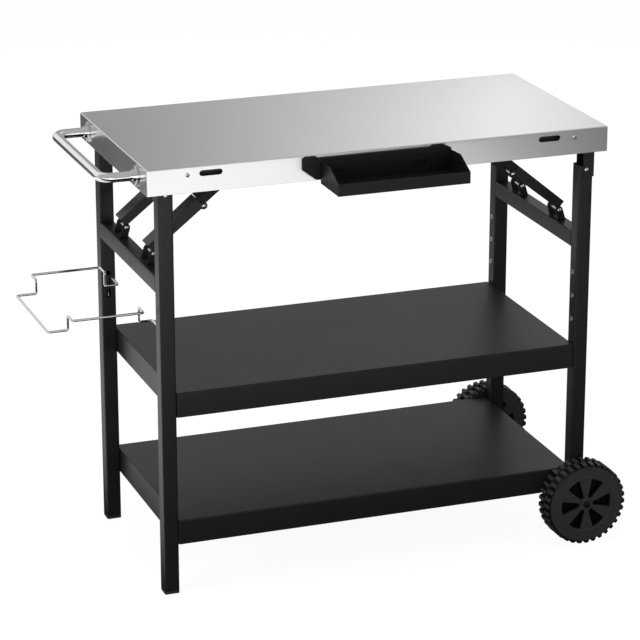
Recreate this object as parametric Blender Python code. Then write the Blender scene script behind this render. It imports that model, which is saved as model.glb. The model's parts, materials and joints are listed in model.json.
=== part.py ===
"""Folding grill cart with a stainless top, two steel shelves, two wheels, a bag rack and a side tray.

Metres, +Z up. X runs along the cart from the handle to the wheels, Y from front to back.
Sizes are first laid out about the centre of the tabletop, at floor level. The empty named
cart_origin then shifts everything so that the origin lies under the centre of the whole cart.
"""

from math import acos, asin, atan2, cos, degrees, hypot, pi, radians, sin

import bmesh
import bpy
from mathutils import Vector

# Clearances
GAP = 0.0003
HOLE_CLEARANCE = 0.0003

# Tabletop
TOP_LENGTH = 0.945
TOP_WIDTH = 0.460
TOP_HEIGHT = 0.868
TOP_SHEET = 0.0012
TOP_RIM = 0.0505
TOP_BEND = 0.0018
TOP_CORNER = 0.0020
SLOT_LENGTH = 0.046
SLOT_HEIGHT = 0.011
SLOT_CENTRE_X = 0.347
SLOT_DROP = 0.0145
RIM_SCREW_SHIFT = 0.0038
RIM_SCREW_DROP = 0.0155
SCREW_SHANK = 0.0017
SCREW_HEAD = 0.0040
SCREW_HEAD_HEIGHT = 0.0022

# Legs
LEG_SECTION = 0.030
LEG_WALL = 0.0015
LEG_CORNER = 0.0026
LEG_OUTER_X = 0.4484
LEG_OUTER_Y = 0.2180
PIVOT_DROP_LEFT = 0.0545
PIVOT_DROP_RIGHT = 0.0880
PIVOT_RADIUS = 0.0030
PIVOT_HEAD_RADIUS = 0.0046
PIVOT_HEAD_HEIGHT = 0.0026
LEG_TOP_ABOVE_PIVOT = 0.0080
RIGHT_LEG_FOOT = 0.0620
CAP_FLANGE = 0.0060
CAP_INSERT = 0.0140
CAP_WALL = 0.0012
PLUG_FLANGE = 0.0030
RIVET_RADIUS = 0.0050
RIVET_BORE = 0.0030
RIVET_STAND = 0.0008
RIVET_PITCH = 0.0495
RIVET_LOWEST = 0.4660
RIVET_COUNT = 3

# Crossbars between the legs
CROSSBAR_DROP = 0.2212
CROSSBAR_HEIGHT = 0.0325

# Rails and pivot brackets under the top
RAIL_CENTRE_X = 0.3970
RAIL_DEPTH = 0.0260
RAIL_WIDTH = 0.0280
RAIL_WALL = 0.0016
BRACKET_WALL = 0.0012
BRACKET_BELOW_PIVOT = 0.0150
BRACKET_INSET = 0.0085
SIDE_RAIL_INSET = 0.0110
SIDE_RAIL_FLANGE = 0.0120
STIFFENER_DEPTH = 0.0310
STIFFENER_WALL = 0.0015
STIFFENER_PLAY = 0.0006

# Folding braces
BRACE_Y = 0.0920
BRACE_WIDTH = 0.0380
BRACE_WALL = 0.0016
BRACE_DEPTH = 0.0199
BRACE_EDGE = 0.0015
BRACE_LUG = 0.0080
BRACE_FOOT_X = 0.4270
BRACE_FOOT_ABOVE_BAR = 0.0212
KNUCKLE_X = 0.3240
KNUCKLE_DROP = 0.1150
UPPER_LENGTH = 0.1450
BRACE_END_TRIM = 0.0020
BUTT_GAP = 0.0016
TONGUE_THICKNESS = 0.0020
UPPER_WALL = 0.0024
TONGUE_LENGTH = 0.0300
BRACE_PIN_RADIUS = 0.0030
BRACE_HEAD_RADIUS = 0.0046
BRACE_HEAD_HEIGHT = 0.0026
CLEVIS_WALL = 0.0020
CLEVIS_EAR = 0.0078
CLEVIS_INNER_X = 0.4240
CLEVIS_OUTER_X = 0.4410
CLEVIS_SCREW_X = 0.4345

# Shelves
SHELF_SHEET = 0.0012
SHELF_RIM = 0.0500
SHELF_BEND = 0.0024
SHELF_CORNER = 0.0028
MIDDLE_SHELF_TOP = 0.4170
LOWER_SHELF_TOP = 0.1530
SHELF_BOLT_DROP = 0.0250
SHELF_BOLT_HEAD = 0.0055
SHELF_BOLT_HEAD_HEIGHT = 0.0035
SHELF_BOLT_REACH = 0.0120
SHELF_BOLT_RADIUS = 0.0026

# Wheels and axle
WHEEL_RADIUS = 0.0865
WHEEL_WIDTH = 0.0503
WHEEL_TO_LEG = 0.0020
KNOB_COUNT = 34
KNOB_HEIGHT = 0.0045
TREAD_GROOVE = 0.0030
SIDEWALL_INNER = 0.0572
DISC_RECESS = 0.0018
DISC_WALL = 0.0050
HUB_RADIUS = 0.0118
WINDOW_INNER = 0.0135
WINDOW_OUTER = 0.0550
WINDOW_COUNT = 6
WINDOW_SHARE = 0.53
WINDOW_PHASE = 3.0
AXLE_RADIUS = 0.0050
CAP_RADIUS = 0.0065
CAP_HEIGHT = 0.0042
AXLE_PAST_WHEEL = 0.0032
WASHER_RADIUS = 0.0110

# Side handle
HANDLE_TUBE_RADIUS = 0.0095
HANDLE_REACH = 0.0695
HANDLE_HALF_SPAN = 0.1680
HANDLE_BEND = 0.0240
HANDLE_DROP = 0.0245
FLANGE_THICKNESS = 0.0025
FLANGE_HALF_WIDTH = 0.0125
FLANGE_LOBE = 0.0065
COLLAR_WALL = 0.0026
COLLAR_LENGTH = 0.0085
FLANGE_SCREW_OFFSET = 0.0150

# Wire bag rack
WIRE_RADIUS = 0.0025
RACK_ARM_Y = 0.1518
RACK_BAR_Y = 0.1184
RACK_ARM_DROP = 0.3035
RACK_STEP_DOWN = 0.0290
RACK_OUTER_X = 0.6423
RACK_STEP_X = 0.6024
RACK_INNER_X = 0.4610
RACK_BEND = 0.0042
RACK_HOOK_DEPTH = 0.0062
RACK_HOOK_DROP = 0.0450
RACK_SLOT_WIDTH = 0.0085
RACK_SLOT_PLAY = 0.0015
RACK_TAIL_INSET = 0.0004
RACK_LIFT = 0.0050

# Tray and its hanger on the front rim
HANGER_SHEET = 0.0020
HANGER_LEFT = -0.1665
HANGER_RIGHT = 0.1385
HANGER_DROP = 0.0060
HANGER_DEPTH = 0.0425
HANGER_TAB_RISE = 0.0038
HANGER_TAB_WIDTH = 0.0205
HANGER_TAB_RAMP = 0.0058
HANGER_SHOULDER = 0.0125
HANGER_SHOULDER_FALL = 0.0050
HANGER_CHAMFER_X = 0.0270
HANGER_CHAMFER_Z = 0.0210
HEM_SHEET = 0.0020
HEM_DEPTH = 0.0120
HEM_PAST_TRAY = 0.0095
TRAY_SHEET = 0.0012
TRAY_LEFT = -0.1300
TRAY_RIGHT = 0.1375
TRAY_FRONT_REACH = 0.0970
TRAY_FLOOR_DROP = 0.0565
TRAY_BACK_HEIGHT = 0.0420
TRAY_LIP = 0.0225
HOOK_SPACING = 0.1700
HOOK_WIDTH = 0.0240
HOOK_LIP = 0.0070
HOOK_SHEET = 0.0016
HOOK_BELOW_TOP = 0.0280
WINDOW_PLAY = 0.0005
TRAY_LIFT = 0.0085
HANGER_STUD_DROP = 0.0390
HANGER_STUD_SPACING = 0.2100
NUT_HEIGHT = 0.0030
CHEEK_FLAT = 0.0480
CHEEK_RISE = 0.0030
CHEEK_ROUND = 0.0100
CHEEK_STEPS = 3

# Rounding
ROUND_SIDES = 16
SMALL_SIDES = 8
HEX = 6
BEND_STEPS = 2
TUBE_STEPS = 2

# Places worked out from the sizes above
UNDERSIDE = TOP_HEIGHT - TOP_SHEET - GAP
RIM_FACE_X = TOP_LENGTH / 2
RIM_FACE_Y = TOP_WIDTH / 2
LEG_CENTRE_X = LEG_OUTER_X - LEG_SECTION / 2
LEG_CENTRE_Y = LEG_OUTER_Y - LEG_SECTION / 2
LEG_INNER_X = LEG_OUTER_X - LEG_SECTION
LEG_INNER_Y = LEG_OUTER_Y - LEG_SECTION
AXLE_Z = WHEEL_RADIUS
WHEEL_CENTRE_Y = LEG_OUTER_Y + WHEEL_TO_LEG + WHEEL_WIDTH / 2
WHEEL_FACE_Y = WHEEL_CENTRE_Y + WHEEL_WIDTH / 2
CROSSBAR_TOP = TOP_HEIGHT - CROSSBAR_DROP
BRACE_FOOT_Z = CROSSBAR_TOP + BRACE_FOOT_ABOVE_BAR
KNUCKLE_Z = TOP_HEIGHT - KNUCKLE_DROP
LOWER_LENGTH = hypot(BRACE_FOOT_X - KNUCKLE_X, KNUCKLE_Z - BRACE_FOOT_Z)
BRACE_ANGLE = atan2(KNUCKLE_Z - BRACE_FOOT_Z, BRACE_FOOT_X - KNUCKLE_X)
BRACE_HEAD_X = KNUCKLE_X - UPPER_LENGTH * cos(BRACE_ANGLE)
BRACE_HEAD_Z = KNUCKLE_Z + UPPER_LENGTH * sin(BRACE_ANGLE)
RACK_ARM_Z = TOP_HEIGHT - RACK_ARM_DROP
RACK_LOW_Z = RACK_ARM_Z - RACK_STEP_DOWN
HANGER_TOP = TOP_HEIGHT - HANGER_DROP
HANGER_BOTTOM = HANGER_TOP - HANGER_DEPTH
HANGER_STUD_Z = TOP_HEIGHT - HANGER_STUD_DROP
HOOK_HEIGHT = TOP_HEIGHT - HOOK_BELOW_TOP
TRAY_BOTTOM = TOP_HEIGHT - TRAY_FLOOR_DROP
TRAY_BACK_TOP = TRAY_BOTTOM + TRAY_BACK_HEIGHT
TRAY_BACK_Y = -RIM_FACE_Y - GAP - HANGER_SHEET - HEM_SHEET - GAP
TRAY_FRONT_Y = TRAY_BACK_Y - TRAY_FRONT_REACH
WHEEL_CAP_Y = WHEEL_FACE_Y + GAP + CAP_HEIGHT

SIDES = {"left": -1, "right": 1}
ROWS = {"front": -1, "back": 1}
PIVOT_HEIGHT = {"left": TOP_HEIGHT - PIVOT_DROP_LEFT, "right": TOP_HEIGHT - PIVOT_DROP_RIGHT}


def clear_scene():
    for item in list(bpy.data.objects):
        bpy.data.objects.remove(item)


clear_scene()


def material(name, colour, roughness, metallic):
    made = bpy.data.materials.new(name)
    made.use_nodes = True
    shader = made.node_tree.nodes["Principled BSDF"]
    shader.inputs["Base Color"].default_value = (*colour, 1.0)
    shader.inputs["Roughness"].default_value = roughness
    shader.inputs["Metallic"].default_value = metallic
    return made


STAINLESS = material("brushed_stainless", (0.62, 0.62, 0.62), 0.28, 1.0)
CHROME = material("chrome_plate", (0.80, 0.80, 0.80), 0.08, 1.0)
ZINC = material("zinc_plate", (0.66, 0.65, 0.62), 0.30, 1.0)
BLACK_COAT = material("black_powder_coat", (0.035, 0.035, 0.037), 0.45, 0.0)
BLACK_PLASTIC = material("black_plastic", (0.022, 0.022, 0.023), 0.55, 0.0)

ROOT = bpy.data.objects.new("cart_origin", None)
bpy.context.collection.objects.link(ROOT)


def add_object(name, bm, look, parent=None):
    """Turn a bmesh into a named object with outward faces and sharp edges kept."""
    bmesh.ops.recalc_face_normals(bm, faces=bm.faces)
    mesh = bpy.data.meshes.new(name)
    bm.to_mesh(mesh)
    bm.free()
    mesh.materials.append(look)
    mesh.shade_smooth()
    mesh.set_sharp_from_angle(angle=radians(35))
    made = bpy.data.objects.new(name, mesh)
    bpy.context.collection.objects.link(made)
    made.parent = parent or ROOT
    return made


def helper(name, bm, parent=None):
    """A shape that only cuts or joins: hidden, and left out of the model."""
    made = add_object(name, bm, BLACK_COAT, parent)
    made.hide_render = True
    made.display_type = "WIRE"
    return made


def apply_shape(target, other, operation):
    step = target.modifiers.new(operation.lower(), "BOOLEAN")
    step.operation = operation
    step.object = other
    step.solver = "EXACT"


def cut(target, cutter_bm):
    apply_shape(target, helper(target.name + "_cutter", cutter_bm, target.parent), "DIFFERENCE")


def join(target, piece_bm):
    apply_shape(target, helper(target.name + "_addition", piece_bm, target.parent), "UNION")


def on_axis(axis, u, v, w):
    """A point at (u, v) across an axis and w along it."""
    if axis == "X":
        return Vector((w, u, v))
    if axis == "Y":
        return Vector((u, w, v))
    return Vector((u, v, w))


def bridge(bm, first, second):
    count = len(first)
    for i in range(count):
        j = (i + 1) % count
        bm.faces.new((first[i], first[j], second[j], second[i]))


def loop_of(bm, outline, axis, w):
    return [bm.verts.new(on_axis(axis, u, v, w)) for u, v in outline]


def prism(bm, outline, axis, low, high):
    """A solid with one outline all along an axis."""
    first = loop_of(bm, outline, axis, low)
    second = loop_of(bm, outline, axis, high)
    bridge(bm, first, second)
    bm.faces.new(first)
    bm.faces.new(second)


def pipe(bm, outer, inner, axis, low, high):
    """An open tube between two outlines that have the same number of points."""
    rims = []
    for w in (low, high):
        rims.append((loop_of(bm, outer, axis, w), loop_of(bm, inner, axis, w)))
    (outer_low, inner_low), (outer_high, inner_high) = rims
    bridge(bm, outer_low, outer_high)
    bridge(bm, inner_low, inner_high)
    bridge(bm, outer_low, inner_low)
    bridge(bm, outer_high, inner_high)


def revolve(bm, profile, axis, centre, sides, turn=0.0):
    """Turn a list of (radius, place along the axis) about a line through centre."""
    rings = []
    for radius, w in profile:
        if radius == 0:
            rings.append([bm.verts.new(on_axis(axis, centre[0], centre[1], w))])
            continue
        ring = []
        for i in range(sides):
            angle = turn + 2 * pi * i / sides
            u = centre[0] + radius * cos(angle)
            v = centre[1] + radius * sin(angle)
            ring.append(bm.verts.new(on_axis(axis, u, v, w)))
        rings.append(ring)
    pairs = list(zip(rings, rings[1:]))
    if len(rings[0]) > 1 and len(rings[-1]) > 1:
        pairs.append((rings[-1], rings[0]))
    for first, second in pairs:
        if len(first) == 1:
            first, second = second, first
        for i in range(sides):
            j = (i + 1) % sides
            if len(second) == 1:
                bm.faces.new((first[i], first[j], second[0]))
            else:
                bm.faces.new((first[i], first[j], second[j], second[i]))


def circle(radius, sides, centre=(0.0, 0.0), turn=0.0):
    points = []
    for i in range(sides):
        angle = turn + 2 * pi * i / sides
        points.append((centre[0] + radius * cos(angle), centre[1] + radius * sin(angle)))
    return points


def arc(centre, radius, start, end, steps):
    """Points on an arc, both ends included; angles in degrees."""
    points = []
    for i in range(steps + 1):
        angle = radians(start + (end - start) * i / steps)
        points.append((centre[0] + radius * cos(angle), centre[1] + radius * sin(angle)))
    return points


def rounded_rectangle(half_u, half_v, radius, centre=(0.0, 0.0), steps=BEND_STEPS):
    points = []
    corners = ((1, 1, 0), (-1, 1, 90), (-1, -1, 180), (1, -1, 270))
    for side_u, side_v, start in corners:
        middle = (centre[0] + side_u * (half_u - radius), centre[1] + side_v * (half_v - radius))
        points += arc(middle, radius, start, start + 90, steps)
    return points


def stadium(half_length, half_height, centre, steps=4):
    """A slot outline, long in its first direction."""
    reach = half_length - half_height
    right = arc((centre[0] + reach, centre[1]), half_height, -90, 90, steps)
    left = arc((centre[0] - reach, centre[1]), half_height, 90, 270, steps)
    return right + left


def swap(outline):
    return [(v, u) for u, v in outline]


def bolt_profile(head_radius, head_height, shank_radius, start, shank_end):
    """A domed head that sits on `start` and a shank to `shank_end`, in the direction of the shank."""
    way = 1 if shank_end > start else -1
    seat = start
    crown = start - way * head_height
    return [
        (0, crown),
        (head_radius * 0.7, crown + way * head_height * 0.2),
        (head_radius, seat),
        (shank_radius, seat),
        (shank_radius, shank_end),
        (0, shank_end),
    ]


def through_bolt(name, centre, low, high, shank_radius, head_radius, head_height, look):
    """A rod along Y from low to high with a domed head at each end."""
    bm = bmesh.new()
    profile = [
        (0, low - head_height),
        (head_radius * 0.7, low - head_height * 0.8),
        (head_radius, low),
        (shank_radius, low),
        (shank_radius, high),
        (head_radius, high),
        (head_radius * 0.7, high + head_height * 0.8),
        (0, high + head_height),
    ]
    revolve(bm, profile, "Y", centre, SMALL_SIDES)
    return add_object(name, bm, look)


def sheet_pan(name, half_length, half_width, top, depth, sheet, bend, corner, look):
    """A sheet tray, open downwards, with a rim folded down on all four sides."""
    bm = bmesh.new()
    shells = []
    for inset in (0.0, sheet):
        bend_radius = bend - inset
        base = top - inset - bend_radius
        levels = [(0.0, top - depth), (0.0, base)]
        for i in range(1, BEND_STEPS + 1):
            angle = pi / 2 * i / BEND_STEPS
            levels.append((bend_radius * (1 - cos(angle)), base + bend_radius * sin(angle)))
        rings = []
        for draw_in, z in levels:
            pull = inset + draw_in
            outline = rounded_rectangle(half_length - pull, half_width - pull, corner - pull * 0.9)
            rings.append(loop_of(bm, outline, "Z", z))
        for first, second in zip(rings, rings[1:]):
            bridge(bm, first, second)
        bm.faces.new(rings[-1])
        shells.append(rings[0])
    bridge(bm, shells[0], shells[1])
    return add_object(name, bm, look)


def loft(bm, sections, axis):
    """A solid through outlines that have the same number of points; each is (outline, place)."""
    rings = [loop_of(bm, outline, axis, w) for outline, w in sections]
    for first, second in zip(rings, rings[1:]):
        bridge(bm, first, second)
    bm.faces.new(rings[0])
    bm.faces.new(rings[-1])


def box(bm, x, y, z):
    """A block from three (low, high) pairs, in any order."""
    outline = [(x[0], y[0]), (x[1], y[0]), (x[1], y[1]), (x[0], y[1])]
    prism(bm, outline, "Z", z[0], z[1])


def fillet_path(corners, bend, steps, closed=False):
    """Points along straight runs with every corner rounded to the radius bend."""
    corners = [Vector(c) for c in corners]
    path = [] if closed else [corners[0]]
    count = len(corners)
    turning = range(count) if closed else range(1, count - 1)
    for i in turning:
        here = corners[i]
        back = (corners[i - 1] - here).normalized()
        ahead = (corners[(i + 1) % count] - here).normalized()
        half = back.angle(ahead) / 2
        set_back = bend * cos(half) / sin(half)
        middle = here + (back + ahead).normalized() * (bend / sin(half))
        start = here + back * set_back - middle
        finish = here + ahead * set_back - middle
        turn = pi - 2 * half
        for k in range(steps + 1):
            part = turn * k / steps
            path.append(middle + (start * sin(turn - part) + finish * sin(part)) / sin(turn))
    if not closed:
        path.append(corners[-1])
    return path


def bent_wire(name, path, radius, resolution, look, parent=None):
    """A round bar that follows a path, with flat ends."""
    curve = bpy.data.curves.new(name, "CURVE")
    curve.dimensions = "3D"
    curve.bevel_depth = radius
    curve.bevel_resolution = resolution
    curve.use_fill_caps = True
    spline = curve.splines.new("POLY")
    spline.points.add(len(path) - 1)
    for point, place in zip(spline.points, path):
        point.co = (*place, 1.0)
    curve.materials.append(look)
    made = bpy.data.objects.new(name, curve)
    bpy.context.collection.objects.link(made)
    made.parent = parent or ROOT
    return made


def axis_empty(name, place):
    made = bpy.data.objects.new(name, None)
    bpy.context.collection.objects.link(made)
    made.parent = ROOT
    made.location = place
    return made


def screw_holes(bm, axis, face, places):
    """Round holes for the small screws, through a rim at `face`."""
    reach = 4 * TOP_SHEET
    for place in places:
        prism(bm, circle(SCREW_SHANK + HOLE_CLEARANCE, SMALL_SIDES, place), axis, face - reach, face + reach)


def rim_screw_places():
    z = TOP_HEIGHT - RIM_SCREW_DROP
    return [(-RAIL_CENTRE_X + RIM_SCREW_SHIFT, z), (RAIL_CENTRE_X + RIM_SCREW_SHIFT, z)]


def hanger_stud_places():
    middle = (HANGER_LEFT + HANGER_RIGHT) / 2
    return [(middle - HANGER_STUD_SPACING / 2, HANGER_STUD_Z), (middle + HANGER_STUD_SPACING / 2, HANGER_STUD_Z)]


def flange_screw_places(row):
    middle = TOP_HEIGHT - HANDLE_DROP
    y = row * HANDLE_HALF_SPAN
    return [(y, middle - FLANGE_SCREW_OFFSET), (y, middle + FLANGE_SCREW_OFFSET)]


def build_tabletop():
    top = sheet_pan(
        "tabletop", RIM_FACE_X, RIM_FACE_Y, TOP_HEIGHT, TOP_RIM, TOP_SHEET, TOP_BEND, TOP_CORNER, STAINLESS
    )
    holes = bmesh.new()
    reach = 4 * TOP_SHEET
    for row in ROWS.values():
        face = row * RIM_FACE_Y
        for side in SIDES.values():
            slot = stadium(SLOT_LENGTH / 2, SLOT_HEIGHT / 2, (side * SLOT_CENTRE_X, TOP_HEIGHT - SLOT_DROP))
            prism(holes, slot, "Y", face - reach, face + reach)
        screw_holes(holes, "Y", face, rim_screw_places())
        screw_holes(holes, "X", -RIM_FACE_X, flange_screw_places(row))
    screw_holes(holes, "Y", -RIM_FACE_Y, hanger_stud_places())
    cut(top, holes)


def build_end_rail(side_name, side):
    """A channel across one end under the top, screwed through the rims, with two leg brackets welded on."""
    end_y = RIM_FACE_Y - TOP_BEND - GAP
    low = UNDERSIDE - RAIL_DEPTH
    half = RAIL_WIDTH / 2
    channel = [
        (-half, low),
        (-half, UNDERSIDE),
        (half, UNDERSIDE),
        (half, low),
        (half - RAIL_WALL, low),
        (half - RAIL_WALL, UNDERSIDE - RAIL_WALL),
        (-half + RAIL_WALL, UNDERSIDE - RAIL_WALL),
        (-half + RAIL_WALL, low),
    ]
    rail = bmesh.new()
    prism(rail, [(side * RAIL_CENTRE_X + u, v) for u, v in channel], "Y", -end_y, end_y)
    made = add_object("end_rail_" + side_name, rail, BLACK_COAT)

    pivot = PIVOT_HEIGHT[side_name]
    bottom = pivot - BRACKET_BELOW_PIVOT
    weld_x = RAIL_CENTRE_X + half - RAIL_WALL / 2
    web_x = LEG_OUTER_X + GAP
    outer_y = LEG_OUTER_Y + GAP
    inner_y = LEG_INNER_Y - GAP
    bracket_top = UNDERSIDE - GAP
    cup = [
        (weld_x, outer_y),
        (weld_x, outer_y + BRACKET_WALL),
        (web_x + BRACKET_WALL, outer_y + BRACKET_WALL),
        (web_x + BRACKET_WALL, inner_y - BRACKET_WALL),
        (weld_x, inner_y - BRACKET_WALL),
        (weld_x, inner_y),
        (web_x, inner_y),
        (web_x, outer_y),
    ]
    brackets = bmesh.new()
    end_plates = bmesh.new()
    plate_x = [side * RAIL_CENTRE_X - half + RAIL_WALL / 2, side * RAIL_CENTRE_X + half - RAIL_WALL / 2]
    for row in ROWS.values():
        prism(brackets, [(side * x, row * y) for x, y in cup], "Z", bottom, bracket_top)
        plate_y = (row * (end_y - BRACKET_WALL), row * (end_y - GAP))
        box(end_plates, plate_x, plate_y, (low + GAP, UNDERSIDE - RAIL_WALL / 2))
    join(made, brackets)
    join(made, end_plates)

    screws = bmesh.new()
    for row in ROWS.values():
        for place in rim_screw_places()[(side + 1) // 2 :][:1]:
            profile = bolt_profile(
                SCREW_HEAD, SCREW_HEAD_HEIGHT, SCREW_SHANK, row * (RIM_FACE_Y + GAP), row * (end_y - 2 * BRACKET_WALL)
            )
            revolve(screws, profile, "Y", place, SMALL_SIDES)
    join(made, screws)

    holes = bmesh.new()
    trims = bmesh.new()
    inner_edge = LEG_INNER_X + BRACKET_INSET
    for row in ROWS.values():
        hole = circle(PIVOT_RADIUS + HOLE_CLEARANCE, SMALL_SIDES, (side * LEG_CENTRE_X, pivot))
        past = 2 * BRACKET_WALL
        prism(holes, hole, "Y", row * (inner_y - past), row * (outer_y + past))
    box(trims, (side * (weld_x - half), side * inner_edge), (-end_y, end_y), (bottom - half, low))
    cut(made, trims)
    cut(made, holes)


def build_stiffener(row_name, row):
    """A channel along the top, under the sheet, that carries the upper ends of two braces."""
    end_x = RAIL_CENTRE_X - RAIL_WIDTH / 2 - GAP
    half = BRACE_WIDTH / 2 + STIFFENER_PLAY + STIFFENER_WALL
    low = UNDERSIDE - STIFFENER_DEPTH
    section = [
        (-half, low),
        (-half, UNDERSIDE),
        (half, UNDERSIDE),
        (half, low),
        (half - STIFFENER_WALL, low),
        (half - STIFFENER_WALL, UNDERSIDE - STIFFENER_WALL),
        (-half + STIFFENER_WALL, UNDERSIDE - STIFFENER_WALL),
        (-half + STIFFENER_WALL, low),
    ]
    bm = bmesh.new()
    prism(bm, [(row * BRACE_Y + u, v) for u, v in section], "X", -end_x, end_x)
    made = add_object("top_stiffener_" + row_name, bm, BLACK_COAT)
    holes = bmesh.new()
    for side in SIDES.values():
        hole = circle(BRACE_PIN_RADIUS + HOLE_CLEARANCE, SMALL_SIDES, (side * BRACE_HEAD_X, BRACE_HEAD_Z))
        prism(holes, hole, "Y", row * BRACE_Y - 2 * half, row * BRACE_Y + 2 * half)
    cut(made, holes)


def build_side_rail(row_name, row):
    """An angle along the inside of a long rim, between the end rails, that darkens and backs the slots."""
    end_x = RAIL_CENTRE_X - RAIL_WIDTH / 2 - GAP
    face = RIM_FACE_Y - TOP_SHEET - SIDE_RAIL_INSET
    low = UNDERSIDE - RAIL_DEPTH
    section = [
        (face, low),
        (face, UNDERSIDE),
        (face - SIDE_RAIL_FLANGE, UNDERSIDE),
        (face - SIDE_RAIL_FLANGE, UNDERSIDE - RAIL_WALL),
        (face - RAIL_WALL, UNDERSIDE - RAIL_WALL),
        (face - RAIL_WALL, low),
    ]
    bm = bmesh.new()
    prism(bm, [(row * y, z) for y, z in section], "X", -end_x, end_x)
    add_object("side_rail_" + row_name, bm, BLACK_COAT)


def leg_outline(inset, centre):
    half = LEG_SECTION / 2 - inset
    return rounded_rectangle(half, half, LEG_CORNER - inset * 0.9, centre, TUBE_STEPS)


def rivet_heights():
    return [RIVET_LOWEST + RIVET_PITCH * i for i in range(RIVET_COUNT)]


def shelf_bolt_heights():
    return [MIDDLE_SHELF_TOP - SHELF_BOLT_DROP, LOWER_SHELF_TOP - SHELF_BOLT_DROP]


def build_leg(side_name, side, row_name, row):
    """A square tube with rivet nuts on the face towards the shelves."""
    centre = (side * LEG_CENTRE_X, row * LEG_CENTRE_Y)
    foot = CAP_FLANGE + GAP if side_name == "left" else RIGHT_LEG_FOOT
    head = PIVOT_HEIGHT[side_name] + LEG_TOP_ABOVE_PIVOT
    bm = bmesh.new()
    pipe(bm, leg_outline(0.0, centre), leg_outline(LEG_WALL, centre), "Z", foot, head)
    made = add_object("leg_" + row_name + "_" + side_name, bm, BLACK_COAT)

    face = side * LEG_INNER_X
    collars = bmesh.new()
    for z in rivet_heights():
        collar = circle(RIVET_RADIUS, SMALL_SIDES, (centre[1], z))
        prism(collars, collar, "X", face - side * RIVET_STAND, face + side * LEG_WALL / 2)
    join(made, collars)

    holes = bmesh.new()
    past = 3 * LEG_WALL
    for z in rivet_heights():
        prism(holes, circle(RIVET_BORE, SMALL_SIDES, (centre[1], z)), "X", face - past, face + past)
    for z in shelf_bolt_heights():
        hole = circle(SHELF_BOLT_RADIUS + HOLE_CLEARANCE, HEX, (centre[1], z))
        prism(holes, hole, "X", face - past, face + past)
    pivot = (centre[0], PIVOT_HEIGHT[side_name])
    through = (centre[1] - LEG_SECTION, centre[1] + LEG_SECTION)
    prism(holes, circle(PIVOT_RADIUS + HOLE_CLEARANCE, SMALL_SIDES, pivot), "Y", *through)
    if side_name == "right":
        axle = circle(AXLE_RADIUS + HOLE_CLEARANCE, SMALL_SIDES, (centre[0], AXLE_Z))
        prism(holes, axle, "Y", *through)
    else:
        slot_low = RACK_LOW_Z - RACK_HOOK_DROP - WIRE_RADIUS - RACK_SLOT_PLAY
        slot_high = RACK_LOW_Z + WIRE_RADIUS + RACK_LIFT + RACK_SLOT_PLAY
        middle = (slot_low + slot_high) / 2
        slot = swap(stadium((slot_high - slot_low) / 2, RACK_SLOT_WIDTH / 2, (middle, centre[0]), 3))
        wall = row * LEG_INNER_Y
        prism(holes, slot, "Y", wall - past, wall + past)
    cut(made, holes)


def build_pivot_bolt(side_name, side, row_name, row):
    near = LEG_INNER_Y - 2 * GAP - BRACKET_WALL
    far = LEG_OUTER_Y + 2 * GAP + BRACKET_WALL
    through_bolt(
        "pivot_bolt_" + row_name + "_" + side_name,
        (side * LEG_CENTRE_X, PIVOT_HEIGHT[side_name]),
        min(row * near, row * far),
        max(row * near, row * far),
        PIVOT_RADIUS,
        PIVOT_HEAD_RADIUS,
        PIVOT_HEAD_HEIGHT,
        ZINC,
    )


def build_leg_end(name, side, row, low, high, chamfer):
    """A moulded end cap: a flange as wide as the leg and a plug that fits inside the tube."""
    centre = (side * LEG_CENTRE_X, row * LEG_CENTRE_Y)
    sections = [
        (leg_outline(chamfer, centre), low),
        (leg_outline(0.0, centre), low + chamfer),
        (leg_outline(0.0, centre), high),
        (leg_outline(LEG_WALL + GAP, centre), high),
        (leg_outline(LEG_WALL + GAP, centre), high + CAP_INSERT * 0.8),
        (leg_outline(LEG_WALL + 3 * GAP, centre), high + CAP_INSERT),
    ]
    bm = bmesh.new()
    loft(bm, sections, "Z")
    add_object(name, bm, BLACK_PLASTIC)


def build_crossbar(side_name, side):
    """The tube between the two legs at one end that the braces stand on."""
    middle = (side * LEG_CENTRE_X, CROSSBAR_TOP - CROSSBAR_HEIGHT / 2)
    half_x = LEG_SECTION / 2
    half_z = CROSSBAR_HEIGHT / 2
    outer = rounded_rectangle(half_x, half_z, LEG_CORNER, middle, TUBE_STEPS)
    inner_corner = LEG_CORNER - LEG_WALL * 0.9
    inner = rounded_rectangle(half_x - LEG_WALL, half_z - LEG_WALL, inner_corner, middle, TUBE_STEPS)
    reach = LEG_INNER_Y - GAP
    bm = bmesh.new()
    pipe(bm, outer, inner, "Y", -reach, reach)
    made = add_object("crossbar_" + side_name, bm, BLACK_COAT)
    holes = bmesh.new()
    past = 3 * LEG_WALL
    for row in ROWS.values():
        hole = circle(SCREW_SHANK + HOLE_CLEARANCE, SMALL_SIDES, (side * CLEVIS_SCREW_X, row * BRACE_Y))
        prism(holes, hole, "Z", CROSSBAR_TOP - past, CROSSBAR_TOP + past)
    cut(made, holes)


def build_shelf(name, top):
    """A sheet tray between the legs, with the four bolts that hold its end rims to them."""
    half_length = LEG_INNER_X - GAP
    made = sheet_pan(
        name, half_length, LEG_OUTER_Y, top, SHELF_RIM, SHELF_SHEET, SHELF_BEND, SHELF_CORNER, BLACK_COAT
    )
    bolts = bmesh.new()
    for side in SIDES.values():
        seat = half_length - SHELF_SHEET * 0.6
        profile = bolt_profile(
            SHELF_BOLT_HEAD, SHELF_BOLT_HEAD_HEIGHT, SHELF_BOLT_RADIUS, side * seat, side * (seat + SHELF_BOLT_REACH)
        )
        for row in ROWS.values():
            revolve(bolts, profile, "X", (row * LEG_CENTRE_Y, top - SHELF_BOLT_DROP), HEX)
    join(made, bolts)


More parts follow.
